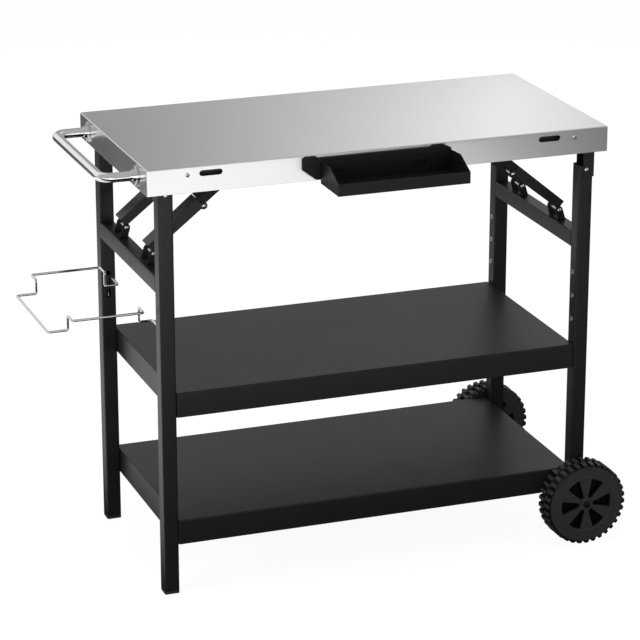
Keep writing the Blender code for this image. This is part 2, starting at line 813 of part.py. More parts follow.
def wheel_rings(bm, sections):
    """Rings about Y from (radius, place, count); a ring may have twice as many points as the one before."""
    rings = []
    for radius, w, count in sections:
        rings.append(loop_of(bm, circle(radius, count), "Y", w))
    for first, second in zip(rings, rings[1:] + rings[:1]):
        if len(first) == len(second):
            bridge(bm, first, second)
            continue
        few, many = sorted((first, second), key=len)
        for i in range(len(few)):
            j = (i + 1) % len(few)
            between = many[2 * i + 1]
            bm.faces.new((few[i], few[j], between))
            bm.faces.new((few[i], between, many[2 * i]))
            bm.faces.new((few[j], many[2 * j], between))


def wheel_solid():
    """The moulded wheel without its windows, outer face towards +Y: hub, disc, tyre and two rows of knobs."""
    half = WHEEL_WIDTH / 2
    face = half - DISC_RECESS
    tread = WHEEL_RADIUS - KNOB_HEIGHT
    coarse = KNOB_COUNT
    fine = 2 * KNOB_COUNT
    sparse = coarse // 2
    outer_side = [
        (AXLE_RADIUS + HOLE_CLEARANCE, half, sparse),
        (HUB_RADIUS, half, sparse),
        (HUB_RADIUS, face, sparse),
        (SIDEWALL_INNER, face, coarse),
        (SIDEWALL_INNER + DISC_RECESS, half, coarse),
        (tread, half, fine),
        (tread, TREAD_GROOVE / 2, fine),
    ]
    inner_side = [
        (tread, -TREAD_GROOVE / 2, fine),
        (tread, -half, fine),
        (SIDEWALL_INNER, -half, coarse),
        (AXLE_RADIUS + HOLE_CLEARANCE, -half, sparse),
    ]
    bm = bmesh.new()
    wheel_rings(bm, outer_side + inner_side)
    knobs = []
    for block in bm.faces:
        if any(abs(hypot(v.co.x, v.co.z) - tread) > GAP for v in block.verts):
            continue
        middle = block.calc_center_median()
        if abs(middle.y) < TREAD_GROOVE:
            continue
        place = int((atan2(middle.z, middle.x) % (2 * pi)) / (2 * pi) * fine)
        if place % 2 == (0 if middle.y < 0 else 1):
            knobs.append(block)
    bmesh.ops.recalc_face_normals(bm, faces=bm.faces)
    for block in bmesh.ops.extrude_discrete_faces(bm, faces=knobs)["faces"]:
        for v in block.verts:
            reach = hypot(v.co.x, v.co.z)
            v.co.x *= WHEEL_RADIUS / reach
            v.co.z *= WHEEL_RADIUS / reach
    return bm


def build_wheel(row_name, row):
    """A moulded wheel: tyre, hub, a windowed outer disc, a plain inner disc and the hollow between them."""
    middle = axis_empty(row_name + "_wheel_axis", (LEG_CENTRE_X, row * WHEEL_CENTRE_Y, AXLE_Z))
    solid = wheel_solid()
    for v in solid.verts:
        v.co.y *= row
    made = add_object("wheel_" + row_name, solid, BLACK_PLASTIC, middle)
    hollow = bmesh.new()
    depth = WHEEL_WIDTH / 2 - DISC_RECESS - DISC_WALL
    tyre_wall = SIDEWALL_INNER + DISC_WALL
    ring = [(HUB_RADIUS, -depth), (tyre_wall, -depth), (tyre_wall, depth), (HUB_RADIUS, depth)]
    revolve(hollow, ring, "Y", (0.0, 0.0), KNOB_COUNT // 2)
    cut(made, hollow)

    windows = bmesh.new()
    half_angle = 180 / WINDOW_COUNT * WINDOW_SHARE
    for i in range(WINDOW_COUNT):
        middle_angle = WINDOW_PHASE + 360 * i / WINDOW_COUNT
        start = middle_angle - half_angle
        end = middle_angle + half_angle
        outline = arc((0, 0), WINDOW_OUTER, start, end, 3) + arc((0, 0), WINDOW_INNER, end, start, 1)
        prism(windows, outline, "Y", 0.0, row * WHEEL_WIDTH)
    cut(made, windows)


def build_hub_cap(row_name, row):
    """A pressed cap that closes over the end of the axle."""
    seat = WHEEL_FACE_Y + GAP
    bore = AXLE_RADIUS + HOLE_CLEARANCE
    bottom = WHEEL_FACE_Y + AXLE_PAST_WHEEL + GAP
    crown = seat + CAP_HEIGHT
    profile = [
        (0, bottom),
        (bore, bottom),
        (bore, seat),
        (CAP_RADIUS, seat),
        (CAP_RADIUS, seat + CAP_HEIGHT * 0.35),
        (CAP_RADIUS * 0.86, seat + CAP_HEIGHT * 0.75),
        (CAP_RADIUS * 0.55, crown - CAP_HEIGHT * 0.05),
        (0, crown),
    ]
    bm = bmesh.new()
    revolve(bm, [(radius, row * w) for radius, w in profile], "Y", (LEG_CENTRE_X, AXLE_Z), ROUND_SIDES)
    add_object("hub_cap_" + row_name, bm, BLACK_PLASTIC)


def build_spacer(row_name, row):
    """A washer between the leg and the wheel."""
    place = (LEG_CENTRE_X, AXLE_Z)
    bm = bmesh.new()
    pipe(
        bm,
        circle(WASHER_RADIUS, ROUND_SIDES, place),
        circle(AXLE_RADIUS + HOLE_CLEARANCE, ROUND_SIDES, place),
        "Y",
        row * (LEG_OUTER_Y + GAP),
        row * (LEG_OUTER_Y + WHEEL_TO_LEG - GAP),
    )
    add_object("wheel_washer_" + row_name, bm, ZINC)


def build_axle():
    end = WHEEL_FACE_Y + AXLE_PAST_WHEEL
    bm = bmesh.new()
    prism(bm, circle(AXLE_RADIUS, SMALL_SIDES, (LEG_CENTRE_X, AXLE_Z)), "Y", -end, end)
    add_object("axle", bm, ZINC)


def brace_point(side, s, t):
    """A point beside a brace: s runs up along it from the foot pivot, t stands off its upper side."""
    x = BRACE_FOOT_X - s * cos(BRACE_ANGLE) + t * sin(BRACE_ANGLE)
    z = BRACE_FOOT_Z + s * sin(BRACE_ANGLE) + t * cos(BRACE_ANGLE)
    return (side * x, z)


def brace_outline(side, points):
    return [brace_point(side, s, t) for s, t in points]


def hollow_channel(made, side, middle_y, wall, start, end):
    """Clear the inside of a brace, so that a web and two side walls are left."""
    inside = bmesh.new()
    under = -2 * BRACE_LUG
    points = [(start, under), (end, under), (end, BRACE_DEPTH - BRACE_WALL), (start, BRACE_DEPTH - BRACE_WALL)]
    half = BRACE_WIDTH / 2 - wall
    prism(inside, brace_outline(side, points), "Y", middle_y - half, middle_y + half)
    cut(made, inside)


def pin_holes(made, side, middle_y, places):
    holes = bmesh.new()
    for s in places:
        outline = circle(BRACE_PIN_RADIUS + HOLE_CLEARANCE, SMALL_SIDES, brace_point(side, s, 0.0))
        prism(holes, outline, "Y", middle_y - BRACE_WIDTH, middle_y + BRACE_WIDTH)
    cut(made, holes)


def build_lower_brace(label, side, middle_y):
    half = BRACE_WIDTH / 2
    butt = LOWER_LENGTH - BUTT_GAP / 2
    edge_angle = degrees(asin(BRACE_EDGE / BRACE_LUG))
    knuckle_angle = degrees(acos(-BUTT_GAP / 2 / BRACE_LUG))
    foot_angle = degrees(acos(BRACE_END_TRIM / BRACE_LUG))
    points = [(BRACE_END_TRIM, BRACE_DEPTH), (butt, BRACE_DEPTH)]
    points += arc((LOWER_LENGTH, 0.0), BRACE_LUG, knuckle_angle, edge_angle - 180, 6)
    points += arc((0.0, 0.0), BRACE_LUG, edge_angle, foot_angle - 360, 7)
    bm = bmesh.new()
    prism(bm, brace_outline(side, points), "Y", middle_y - half, middle_y + half)
    made = add_object("brace_lower_" + label, bm, BLACK_COAT)
    hollow_channel(made, side, middle_y, BRACE_WALL, -2 * BRACE_LUG, LOWER_LENGTH + 2 * BRACE_LUG)
    pin_holes(made, side, middle_y, (0.0, LOWER_LENGTH))


def build_upper_brace(label, side, middle_y):
    half = BRACE_WIDTH / 2
    head = LOWER_LENGTH + UPPER_LENGTH
    start = LOWER_LENGTH + BUTT_GAP / 2
    notch = BRACE_LUG + GAP + HOLE_CLEARANCE
    edge_angle = degrees(asin(BRACE_EDGE / BRACE_LUG))
    notch_edge = degrees(asin(BRACE_EDGE / notch))
    notch_top = degrees(acos(BUTT_GAP / 2 / notch))
    points = [(start, BRACE_DEPTH), (head, BRACE_DEPTH)]
    points += arc((head, 0.0), BRACE_LUG, 60, edge_angle - 180, 6)
    points += arc((LOWER_LENGTH, 0.0), notch, notch_edge, notch_top, 4)
    bm = bmesh.new()
    prism(bm, brace_outline(side, points), "Y", middle_y - half, middle_y + half)
    made = add_object("brace_upper_" + label, bm, BLACK_COAT)
    hollow_channel(made, side, middle_y, UPPER_WALL, LOWER_LENGTH - BRACE_LUG, head + 2 * BRACE_LUG)

    tongue_radius = BRACE_LUG - GAP
    tongue = arc((LOWER_LENGTH, 0.0), tongue_radius, 90, 270, 5)
    tongue += [
        (LOWER_LENGTH + BRACE_LUG, BRACE_EDGE + GAP),
        (LOWER_LENGTH + TONGUE_LENGTH, BRACE_EDGE + GAP),
        (LOWER_LENGTH + TONGUE_LENGTH, BRACE_DEPTH / 2),
        (LOWER_LENGTH + BRACE_LUG, BRACE_DEPTH / 2 + BRACE_WALL),
    ]
    outer = half - BRACE_WALL - GAP
    inner = outer - TONGUE_THICKNESS
    ears = bmesh.new()
    for edge in (-1, 1):
        prism(ears, brace_outline(side, tongue), "Y", middle_y + edge * inner, middle_y + edge * outer)
    join(made, ears)
    pin_holes(made, side, middle_y, (LOWER_LENGTH, head))


def build_clevis(label, side, middle_y):
    """A pressed fork screwed to the crossbar: two leaning ears that hold the foot of a brace."""
    base = CROSSBAR_TOP + GAP
    inner_half = BRACE_WIDTH / 2 + GAP
    outer_half = inner_half + CLEVIS_WALL
    ear = [(CLEVIS_OUTER_X, base), (CLEVIS_OUTER_X, base + CLEVIS_WALL)]
    ear += arc((BRACE_FOOT_X, BRACE_FOOT_Z), CLEVIS_EAR, 25, 195, 6)
    ear += [(CLEVIS_INNER_X, base + CLEVIS_WALL), (CLEVIS_INNER_X, base)]
    bm = bmesh.new()
    prism(bm, [(side * x, z) for x, z in ear], "Y", middle_y - outer_half, middle_y + outer_half)
    made = add_object("brace_clevis_" + label, bm, BLACK_COAT)

    inside = bmesh.new()
    between = (side * (CLEVIS_INNER_X - BRACE_LUG), side * (CLEVIS_OUTER_X + BRACE_LUG))
    across = (middle_y - inner_half, middle_y + inner_half)
    box(inside, between, across, (base + CLEVIS_WALL, BRACE_FOOT_Z + 2 * BRACE_LUG))
    cut(made, inside)

    screw = bmesh.new()
    profile = bolt_profile(
        SCREW_HEAD, SCREW_HEAD_HEIGHT, SCREW_SHANK, base + CLEVIS_WALL - GAP, CROSSBAR_TOP - 3 * LEG_WALL
    )
    revolve(screw, profile, "Z", (side * CLEVIS_SCREW_X, middle_y), SMALL_SIDES)
    join(made, screw)
    pin_holes(made, side, middle_y, (0.0,))


def build_brace_pins(label, side, middle_y):
    reaches = {
        "foot": (0.0, BRACE_WIDTH / 2 + 2 * GAP + CLEVIS_WALL),
        "knuckle": (LOWER_LENGTH, BRACE_WIDTH / 2 + GAP),
        "head": (LOWER_LENGTH + UPPER_LENGTH, BRACE_WIDTH / 2 + STIFFENER_PLAY + STIFFENER_WALL + GAP),
    }
    for place, (s, reach) in reaches.items():
        through_bolt(
            "brace_" + place + "_pin_" + label,
            brace_point(side, s, 0.0),
            middle_y - reach,
            middle_y + reach,
            BRACE_PIN_RADIUS,
            BRACE_HEAD_RADIUS,
            BRACE_HEAD_HEIGHT,
            ZINC,
        )


def build_handle():
    """A bent chrome tube whose ends stand in two flanges on the rim."""
    z = TOP_HEIGHT - HANDLE_DROP
    root = -(RIM_FACE_X + GAP + FLANGE_THICKNESS + GAP)
    out = -(RIM_FACE_X + HANDLE_REACH)
    corners = [
        (root, -HANDLE_HALF_SPAN, z),
        (out, -HANDLE_HALF_SPAN, z),
        (out, HANDLE_HALF_SPAN, z),
        (root, HANDLE_HALF_SPAN, z),
    ]
    bent_wire("handle_tube", fillet_path(corners, HANDLE_BEND, 6), HANDLE_TUBE_RADIUS, 4, CHROME)


def build_flange(row_name, row):
    """A pressed plate with two screw lobes and a collar for the handle tube."""
    y = row * HANDLE_HALF_SPAN
    z = TOP_HEIGHT - HANDLE_DROP
    seat = -(RIM_FACE_X + GAP)
    face = seat - FLANGE_THICKNESS
    lean = degrees(asin((FLANGE_HALF_WIDTH - FLANGE_LOBE) / FLANGE_SCREW_OFFSET))
    plate = arc((y, z), FLANGE_HALF_WIDTH, -lean, lean, 2)
    plate += arc((y, z + FLANGE_SCREW_OFFSET), FLANGE_LOBE, lean, 180 - lean, 4)
    plate += arc((y, z), FLANGE_HALF_WIDTH, 180 - lean, 180 + lean, 2)
    plate += arc((y, z - FLANGE_SCREW_OFFSET), FLANGE_LOBE, 180 + lean, 360 - lean, 4)
    bm = bmesh.new()
    prism(bm, plate, "X", seat, face)
    made = add_object("handle_flange_" + row_name, bm, CHROME)

    collar = bmesh.new()
    bore = HANDLE_TUBE_RADIUS + GAP
    sides = ROUND_SIDES + BEND_STEPS + 1
    tip = face - COLLAR_LENGTH
    outer = circle(bore + COLLAR_WALL, sides, (y, z))
    inner = circle(bore + GAP, sides, (y, z))
    pipe(collar, outer, inner, "X", face + FLANGE_THICKNESS / 2, tip)
    join(made, collar)

    screws = bmesh.new()
    rim_inside = -(RIM_FACE_X - 4 * TOP_SHEET)
    for place in flange_screw_places(row):
        profile = bolt_profile(SCREW_HEAD, SCREW_HEAD_HEIGHT, SCREW_SHANK, face + GAP, rim_inside)
        revolve(screws, profile, "X", place, SMALL_SIDES)
    join(made, screws)


def build_rack():
    """One bent wire that hooks into the slots of the two left legs and holds a bag open."""
    hook_y = LEG_INNER_Y + RACK_HOOK_DEPTH
    hook_z = RACK_LOW_Z - RACK_HOOK_DROP
    half = [
        (-LEG_CENTRE_X, LEG_INNER_Y + RACK_TAIL_INSET, hook_z),
        (-LEG_CENTRE_X, hook_y, hook_z),
        (-LEG_CENTRE_X, hook_y, RACK_LOW_Z),
        (-LEG_CENTRE_X, RACK_BAR_Y, RACK_LOW_Z),
        (-RACK_INNER_X, RACK_BAR_Y, RACK_LOW_Z),
        (-RACK_INNER_X, RACK_BAR_Y, RACK_ARM_Z),
        (-RACK_INNER_X, RACK_ARM_Y, RACK_ARM_Z),
        (-RACK_STEP_X, RACK_ARM_Y, RACK_ARM_Z),
        (-RACK_STEP_X, RACK_BAR_Y, RACK_ARM_Z),
        (-RACK_STEP_X, RACK_BAR_Y, RACK_LOW_Z),
        (-RACK_OUTER_X, RACK_BAR_Y, RACK_LOW_Z),
    ]
    corners = half + [(x, -y, z) for x, y, z in reversed(half)]
    slide = axis_empty("rack_slide", (0.0, 0.0, 0.0))
    bent_wire("bag_rack", fillet_path(corners, RACK_BEND, 2), WIRE_RADIUS, 2, CHROME, slide)


def hook_places():
    middle = (HANGER_LEFT + HANGER_RIGHT) / 2
    return (middle - HOOK_SPACING / 2, middle + HOOK_SPACING / 2)


def build_hanger():
    """The plate on the front rim, with a hem, two folded hooks for the tray and two weld studs with nuts."""
    back = -(RIM_FACE_Y + GAP)
    front = back - HANGER_SHEET
    tab_top = HANGER_TOP + HANGER_TAB_RISE
    right_tab = HANGER_RIGHT - HANGER_SHOULDER - HANGER_TAB_RAMP
    outline = [
        (HANGER_LEFT + HANGER_CHAMFER_X, HANGER_BOTTOM),
        (HANGER_LEFT, HANGER_BOTTOM + HANGER_CHAMFER_Z),
        (HANGER_LEFT, HANGER_TOP),
        (HANGER_LEFT + HANGER_TAB_RAMP, tab_top),
        (HANGER_LEFT + HANGER_TAB_RAMP + HANGER_TAB_WIDTH, tab_top),
        (HANGER_LEFT + 2 * HANGER_TAB_RAMP + HANGER_TAB_WIDTH, HANGER_TOP),
        (right_tab - HANGER_TAB_WIDTH - HANGER_TAB_RAMP, HANGER_TOP),
        (right_tab - HANGER_TAB_WIDTH, tab_top),
        (right_tab, tab_top),
        (HANGER_RIGHT - HANGER_SHOULDER, HANGER_TOP),
        (HANGER_RIGHT, HANGER_TOP - HANGER_SHOULDER_FALL),
        (HANGER_RIGHT, HANGER_BOTTOM + HANGER_CHAMFER_Z),
        (HANGER_RIGHT - HANGER_CHAMFER_X, HANGER_BOTTOM),
    ]
    bm = bmesh.new()
    prism(bm, outline, "Y", back, front)
    made = add_object("tray_hanger", bm, BLACK_COAT)

    hem = bmesh.new()
    hem_x = (TRAY_LEFT - HEM_PAST_TRAY, HANGER_RIGHT - HANGER_SHOULDER)
    box(hem, hem_x, (front + HANGER_SHEET / 2, front - HEM_SHEET), (HANGER_TOP - HEM_DEPTH, HANGER_TOP - GAP))
    join(made, hem)

    reach = HEM_SHEET + GAP + TRAY_SHEET + GAP + HOOK_SHEET
    profile = [
        (front + HANGER_SHEET / 2, HOOK_HEIGHT - HOOK_SHEET),
        (front - reach, HOOK_HEIGHT - HOOK_SHEET),
        (front - reach, HOOK_HEIGHT + HOOK_LIP),
        (front - reach + HOOK_SHEET, HOOK_HEIGHT + HOOK_LIP),
        (front - reach + HOOK_SHEET, HOOK_HEIGHT),
        (front + HANGER_SHEET / 2, HOOK_HEIGHT),
    ]
    hooks = bmesh.new()
    for x in hook_places():
        prism(hooks, profile, "X", x - HOOK_WIDTH / 2, x + HOOK_WIDTH / 2)
    join(made, hooks)

    studs = bmesh.new()
    rim_inside = -(RIM_FACE_Y - TOP_SHEET) + GAP
    stud = [
        (0, back - HANGER_SHEET / 2),
        (SCREW_SHANK, back - HANGER_SHEET / 2),
        (SCREW_SHANK, rim_inside),
        (SCREW_HEAD, rim_inside),
        (SCREW_HEAD, rim_inside + NUT_HEIGHT),
        (SCREW_SHANK, rim_inside + NUT_HEIGHT),
        (SCREW_SHANK, rim_inside + 2 * NUT_HEIGHT),
        (0, rim_inside + 2 * NUT_HEIGHT),
    ]
    for place in hanger_stud_places():
        revolve(studs, stud, "Y", place, HEX)
    join(made, studs)


def build_tray():
    """A folded sheet tray: back wall, floor, front lip and two cheeks; it lifts off the hooks."""
    slide = axis_empty("tray_slide", (0.0, 0.0, 0.0))
    lip_top = TRAY_BOTTOM + TRAY_LIP
    peak = Vector((TRAY_BACK_Y - CHEEK_FLAT, TRAY_BACK_TOP + CHEEK_RISE, 0.0))
    back_top = (TRAY_BACK_Y, TRAY_BACK_TOP, 0.0)
    lip = (TRAY_FRONT_Y, lip_top, 0.0)
    cheek = [(TRAY_FRONT_Y, TRAY_BOTTOM), (TRAY_BACK_Y, TRAY_BOTTOM)]
    cheek += [(y, z) for y, z, _ in fillet_path((back_top, peak, lip), CHEEK_ROUND, CHEEK_STEPS)]
    bm = bmesh.new()
    prism(bm, cheek, "X", TRAY_LEFT, TRAY_RIGHT)
    made = add_object("side_tray", bm, BLACK_COAT, slide)

    inside = bmesh.new()
    box(
        inside,
        (TRAY_LEFT + TRAY_SHEET, TRAY_RIGHT - TRAY_SHEET),
        (TRAY_FRONT_Y + TRAY_SHEET, TRAY_BACK_Y - TRAY_SHEET),
        (TRAY_BOTTOM + TRAY_SHEET, TRAY_BACK_TOP + TRAY_LIP),
    )
    cut(made, inside)

    windows = bmesh.new()
    low = HOOK_HEIGHT - HOOK_SHEET - TRAY_LIFT - WINDOW_PLAY
    for x in hook_places():
        half = HOOK_WIDTH / 2 + WINDOW_PLAY
        box(windows, (x - half, x + half), (TRAY_BACK_Y - 2 * TRAY_SHEET, TRAY_BACK_Y + TRAY_SHEET), (low, HOOK_HEIGHT + GAP))
    cut(made, windows)


def build_cart():
    build_tabletop()
    for side_name, side in SIDES.items():
        build_end_rail(side_name, side)
        build_crossbar(side_name, side)
        for row_name, row in ROWS.items():
            build_leg(side_name, side, row_name, row)
            build_pivot_bolt(side_name, side, row_name, row)
            label = row_name + "_" + side_name
            build_clevis(label, side, row * BRACE_Y)
            build_lower_brace(label, side, row * BRACE_Y)
            build_upper_brace(label, side, row * BRACE_Y)
            build_brace_pins(label, side, row * BRACE_Y)
    for row_name, row in ROWS.items():
        build_stiffener(row_name, row)
        build_side_rail(row_name, row)
        build_leg_end("foot_cap_" + row_name, -1, row, 0.0, CAP_FLANGE, CAP_WALL)
        plug_low = RIGHT_LEG_FOOT - GAP - PLUG_FLANGE
        build_leg_end("leg_plug_" + row_name, 1, row, plug_low, RIGHT_LEG_FOOT - GAP, PLUG_FLANGE / 3)
        build_wheel(row_name, row)
        build_spacer(row_name, row)
        build_hub_cap(row_name, row)
        build_flange(row_name, row)
    build_shelf("shelf_middle", MIDDLE_SHELF_TOP)
    build_shelf("shelf_lower", LOWER_SHELF_TOP)
    build_axle()
    build_handle()
    build_rack()
    build_hanger()
    build_tray()


build_cart()

left_end = -(RACK_OUTER_X + WIRE_RADIUS)
right_end = LEG_CENTRE_X + WHEEL_RADIUS
ROOT.location = (-(left_end + right_end) / 2, -(TRAY_FRONT_Y + WHEEL_CAP_Y) / 2, 0.0)
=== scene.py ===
"""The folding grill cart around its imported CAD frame: finishes, fine pieces, stage and light."""

import json
from math import cos, pi, radians, sin, tan

import bmesh
import bpy
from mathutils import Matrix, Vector


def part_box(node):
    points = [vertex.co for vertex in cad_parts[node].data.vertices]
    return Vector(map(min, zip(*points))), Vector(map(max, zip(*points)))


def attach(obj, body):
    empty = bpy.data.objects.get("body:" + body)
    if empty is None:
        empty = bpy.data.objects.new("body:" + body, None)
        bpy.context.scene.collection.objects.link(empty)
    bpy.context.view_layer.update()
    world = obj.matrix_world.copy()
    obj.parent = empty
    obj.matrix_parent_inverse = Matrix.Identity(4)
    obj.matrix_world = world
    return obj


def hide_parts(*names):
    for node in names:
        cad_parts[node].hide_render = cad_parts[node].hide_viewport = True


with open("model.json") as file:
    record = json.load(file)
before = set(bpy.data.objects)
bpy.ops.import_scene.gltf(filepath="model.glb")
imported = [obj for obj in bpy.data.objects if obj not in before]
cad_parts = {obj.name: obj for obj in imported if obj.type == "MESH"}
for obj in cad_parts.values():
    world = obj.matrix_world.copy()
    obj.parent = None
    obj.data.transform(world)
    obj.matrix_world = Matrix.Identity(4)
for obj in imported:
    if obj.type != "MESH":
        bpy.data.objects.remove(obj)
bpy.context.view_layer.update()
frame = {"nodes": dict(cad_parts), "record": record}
nodes = frame["nodes"]

# Lengths are in metres, and angles in radians unless a name says otherwise. The axle's x and z,
# and the y of the plane midway between front and back legs, serve both finishes and pieces.

AXLE = (0.49585, 0.0865)
OFFSET_Y = 0.0284

WHITE = (1.0, 1.0, 1.0, 1.0)


# Node trees


class Field:
    """A node's output. Arithmetic on it adds Math nodes to its graph."""

    def __init__(self, graph, socket):
        self.graph = graph
        self.socket = socket

    def _maths(self, operation, *terms):
        values = dict(enumerate(terms))
        return self.graph.node("ShaderNodeMath", {"operation": operation}, values)

    def __add__(self, other):
        return self._maths("ADD", self, other)

    def __radd__(self, other):
        return self._maths("ADD", other, self)

    def __sub__(self, other):
        return self._maths("SUBTRACT", self, other)

    def __rsub__(self, other):
        return self._maths("SUBTRACT", other, self)

    def __mul__(self, other):
        return self._maths("MULTIPLY", self, other)

    def __truediv__(self, other):
        return self._maths("DIVIDE", self, other)

    def __pow__(self, other):
        return self._maths("POWER", self, other)

    def __abs__(self):
        return self._maths("ABSOLUTE", self)

    def at_least(self, low):
        return self._maths("MAXIMUM", self, low)

    def at_most(self, high):
        return self._maths("MINIMUM", self, high)


class Graph:
    """A node tree, with nodes added from their settings and input values."""

    def __init__(self, tree):
        self.tree = tree

    def put(self, socket, value):
        """Link a Field, or a list of them, to a socket, or write a plain value on it."""
        for one in value if isinstance(value, list) else [value]:
            if isinstance(one, Field):
                self.tree.links.new(one.socket, socket)
            else:
                socket.default_value = one

    def node(self, kind, settings=None, values=None, output=0):
        made = self.tree.nodes.new(kind)
        for key, value in (settings or {}).items():
            setattr(made, key, value)
        for key, value in (values or {}).items():
            self.put(made.inputs[key], value)
        return Field(self, made.outputs[output])

    def part(self, vector, axis):
        return self.node("ShaderNodeSeparateXYZ", None, {0: vector}, axis)

    def along(self, axis, space="Object"):
        """The coordinate of the shaded place along one axis."""
        return self.part(self.node("ShaderNodeTexCoord", output=space), axis)

    def limits(self, value, low, high):
        """0 where value is under low, 1 where it is over high, and smooth between them."""
        values = {"Value": value, "From Min": low, "From Max": high}
        return self.node("ShaderNodeMapRange", {"interpolation_type": "SMOOTHSTEP"}, values)


class Finish(Graph):
    """A material with one Principled shader and the nodes that feed it."""

    def __init__(self, name, colour, roughness, metallic=0.0):
        self.material = bpy.data.materials.new(name)
        self.material.use_nodes = True
        super().__init__(self.material.node_tree)
        self.shader = self.tree.nodes["Principled BSDF"]
        self.set("Base Color", colour)
        self.set("Roughness", roughness)
        self.set("Metallic", metallic)

    def set(self, name, value):
        self.put(self.shader.inputs[name], value)

    def noise(self, size, detail, x_scale=1.0, roughness=0.55):
        """Noise from 0 to 1 in blotches about `size` wide, drawn out along X by a small x_scale."""
        place = self.node("ShaderNodeTexCoord", output="Object")
        place = self.node("ShaderNodeMapping", None, {"Vector": place, "Scale": (x_scale, 1, 1)})
        values = {"Vector": place, "Scale": 1 / size, "Detail": detail, "Roughness": roughness}
        return self.node("ShaderNodeTexNoise", None, values, "Fac")

    def blend(self, factor, first, second):
        values = {0: factor, 6: first, 7: second}
        return self.node("ShaderNodeMix", {"data_type": "RGBA"}, values, 2)

    def bump(self, height, distance, strength):
        values = {"Height": height, "Distance": distance, "Strength": strength}
        return self.node("ShaderNodeBump", None, values)

    def glow(self, strength):
        return self.node("ShaderNodeEmission", None, {"Color": WHITE, "Strength": strength})

    def show_mixed(self, share, first, second):
        """Show the first shader where share is 0 and the second where it is 1."""
        mixed = self.node("ShaderNodeMixShader", None, {0: share, 1: first, 2: second})
        self.put(self.tree.nodes["Material Output"].inputs["Surface"], mixed)


def grey(level):
    return (level, level, level, 1.0)


def between(share, low, high):
    """Straight from low to high as share goes from 0 to 1."""
    return share * (high - low) + low


# Finishes


def stainless_finish():
    """Satin stainless sheet, brushed along the cart, with faint streaks in its gloss."""
    finish = Finish("stainless_top", grey(0.86), roughness=0.26, metallic=1.0)
    grain = finish.noise(size=0.0012, detail=4.0, x_scale=0.02, roughness=0.6)
    smear = finish.noise(size=0.11, detail=2.0, x_scale=0.35)
    finish.set("Roughness", 0.21 + grain * 0.05 + smear * 0.04)
    finish.set("Base Color", finish.blend(grain, grey(0.83), grey(0.89)))
    finish.set("Normal", finish.bump(grain, distance=0.00003, strength=0.2))
    return finish.material


def chrome_finish():
    """Bright plated tube and wire, with fine wiping marks."""
    finish = Finish("chrome_plate", (0.84, 0.84, 0.85, 1.0), roughness=0.09, metallic=1.0)
    wiping = finish.noise(size=0.006, detail=3.0, x_scale=0.3)
    finish.set("Roughness", 0.05 + wiping * 0.05)
    return finish.material


def zinc_finish():
    """Bright zinc on bolts and pins: slightly blue, with a cloudy spangle."""
    finish = Finish("zinc_plate", (0.78, 0.78, 0.77, 1.0), roughness=0.24, metallic=1.0)
    cloud = finish.noise(size=0.0022, detail=4.0)
    finish.set("Roughness", 0.16 + cloud * 0.16)
    finish.set("Base Color", finish.blend(cloud, (0.72, 0.73, 0.75, 1.0), (0.86, 0.86, 0.84, 1.0)))
    return finish.material


def rivet_nut_finish():
    """Dull, slightly yellow zinc on the rivet nuts."""
    finish = Finish("rivet_nut_zinc", (0.66, 0.60, 0.50, 1.0), roughness=0.36, metallic=1.0)
    cloud = finish.noise(size=0.0018, detail=4.0)
    finish.set("Roughness", 0.30 + cloud * 0.18)
    finish.set("Base Color", finish.blend(cloud, (0.52, 0.47, 0.38, 1.0), (0.78, 0.72, 0.60, 1.0)))
    return finish.material


def powder_coat_finish():
    """Black powder coat: satin, with the fine orange peel that baking leaves."""
    finish = Finish("black_powder_coat", (0.012, 0.012, 0.0125, 1.0), roughness=0.46)
    peel = finish.noise(size=0.0013, detail=2.0)
    cloud = finish.noise(size=0.09, detail=2.0)
    finish.set("Specular IOR Level", 0.47)
    finish.set("Roughness", 0.34 + peel * 0.07 + cloud * 0.05)
    finish.set("Base Color", finish.blend(cloud, grey(0.0082), grey(0.0110)))
    finish.set("Normal", finish.bump(peel, distance=0.00006, strength=0.3))
    return finish.material


def shaded_coat_finish():
    """A darker copy of the black coat, finer and flatter and a little scuffed, whose darkness is
    painted shade on the tray, its hanger, the brace clevises and the upper braces.
    """
    finish = Finish("fine_black_coat", (0.006, 0.006, 0.0062, 1.0), roughness=0.5)
    peel = finish.noise(size=0.0010, detail=2.0)
    scuff = finish.noise(size=0.016, detail=4.0, x_scale=0.25)
    finish.set("Specular IOR Level", 0.42)
    finish.set("Roughness", 0.44 + peel * 0.06 + scuff * 0.10)
    # Darker than the powder coat as painted shade; the scuffs are wear
    finish.set("Base Color", finish.blend(scuff, grey(0.0028), grey(0.0048)))
    finish.set("Normal", finish.bump(peel, distance=0.00005, strength=0.3))
    return finish.material


def moulding(name):
    """Moulded black plastic with a fine spark-eroded grain, and its cloudy colour."""
    finish = Finish(name, (0.022, 0.022, 0.0225, 1.0), roughness=0.5)
    grain = finish.noise(size=0.0009, detail=3.0)
    cloud = finish.noise(size=0.03, detail=2.0)
    finish.set("Specular IOR Level", 0.3)
    finish.set("Roughness", 0.40 + grain * 0.10 + cloud * 0.06)
    finish.set("Normal", finish.bump(grain, distance=0.00008, strength=0.35))
    return finish, finish.blend(cloud, grey(0.030), grey(0.038))


def plastic_finish():
    """The plain moulded plastic of feet and plugs."""
    finish, colour = moulding("black_plastic")
    finish.set("Base Color", colour)
    return finish.material


# How far the wheels' middles are from the middle plane, and the radii and depths between which
# their plastic goes from painted deep shade, or the darker middle of the hub caps, to its own
# colour
WHEEL_CENTRE = 0.24515
CAP_RADII = (0.0060, 0.0078)
DISC_RADII = (0.0556, 0.0562)
POCKET_SHADE = (0.012, 0.0232)
TREAD_RADII = (0.0795, 0.0805)
LUG_SHADE = (0.0825, 0.0858)
DEEP_SHADE = 0.0025


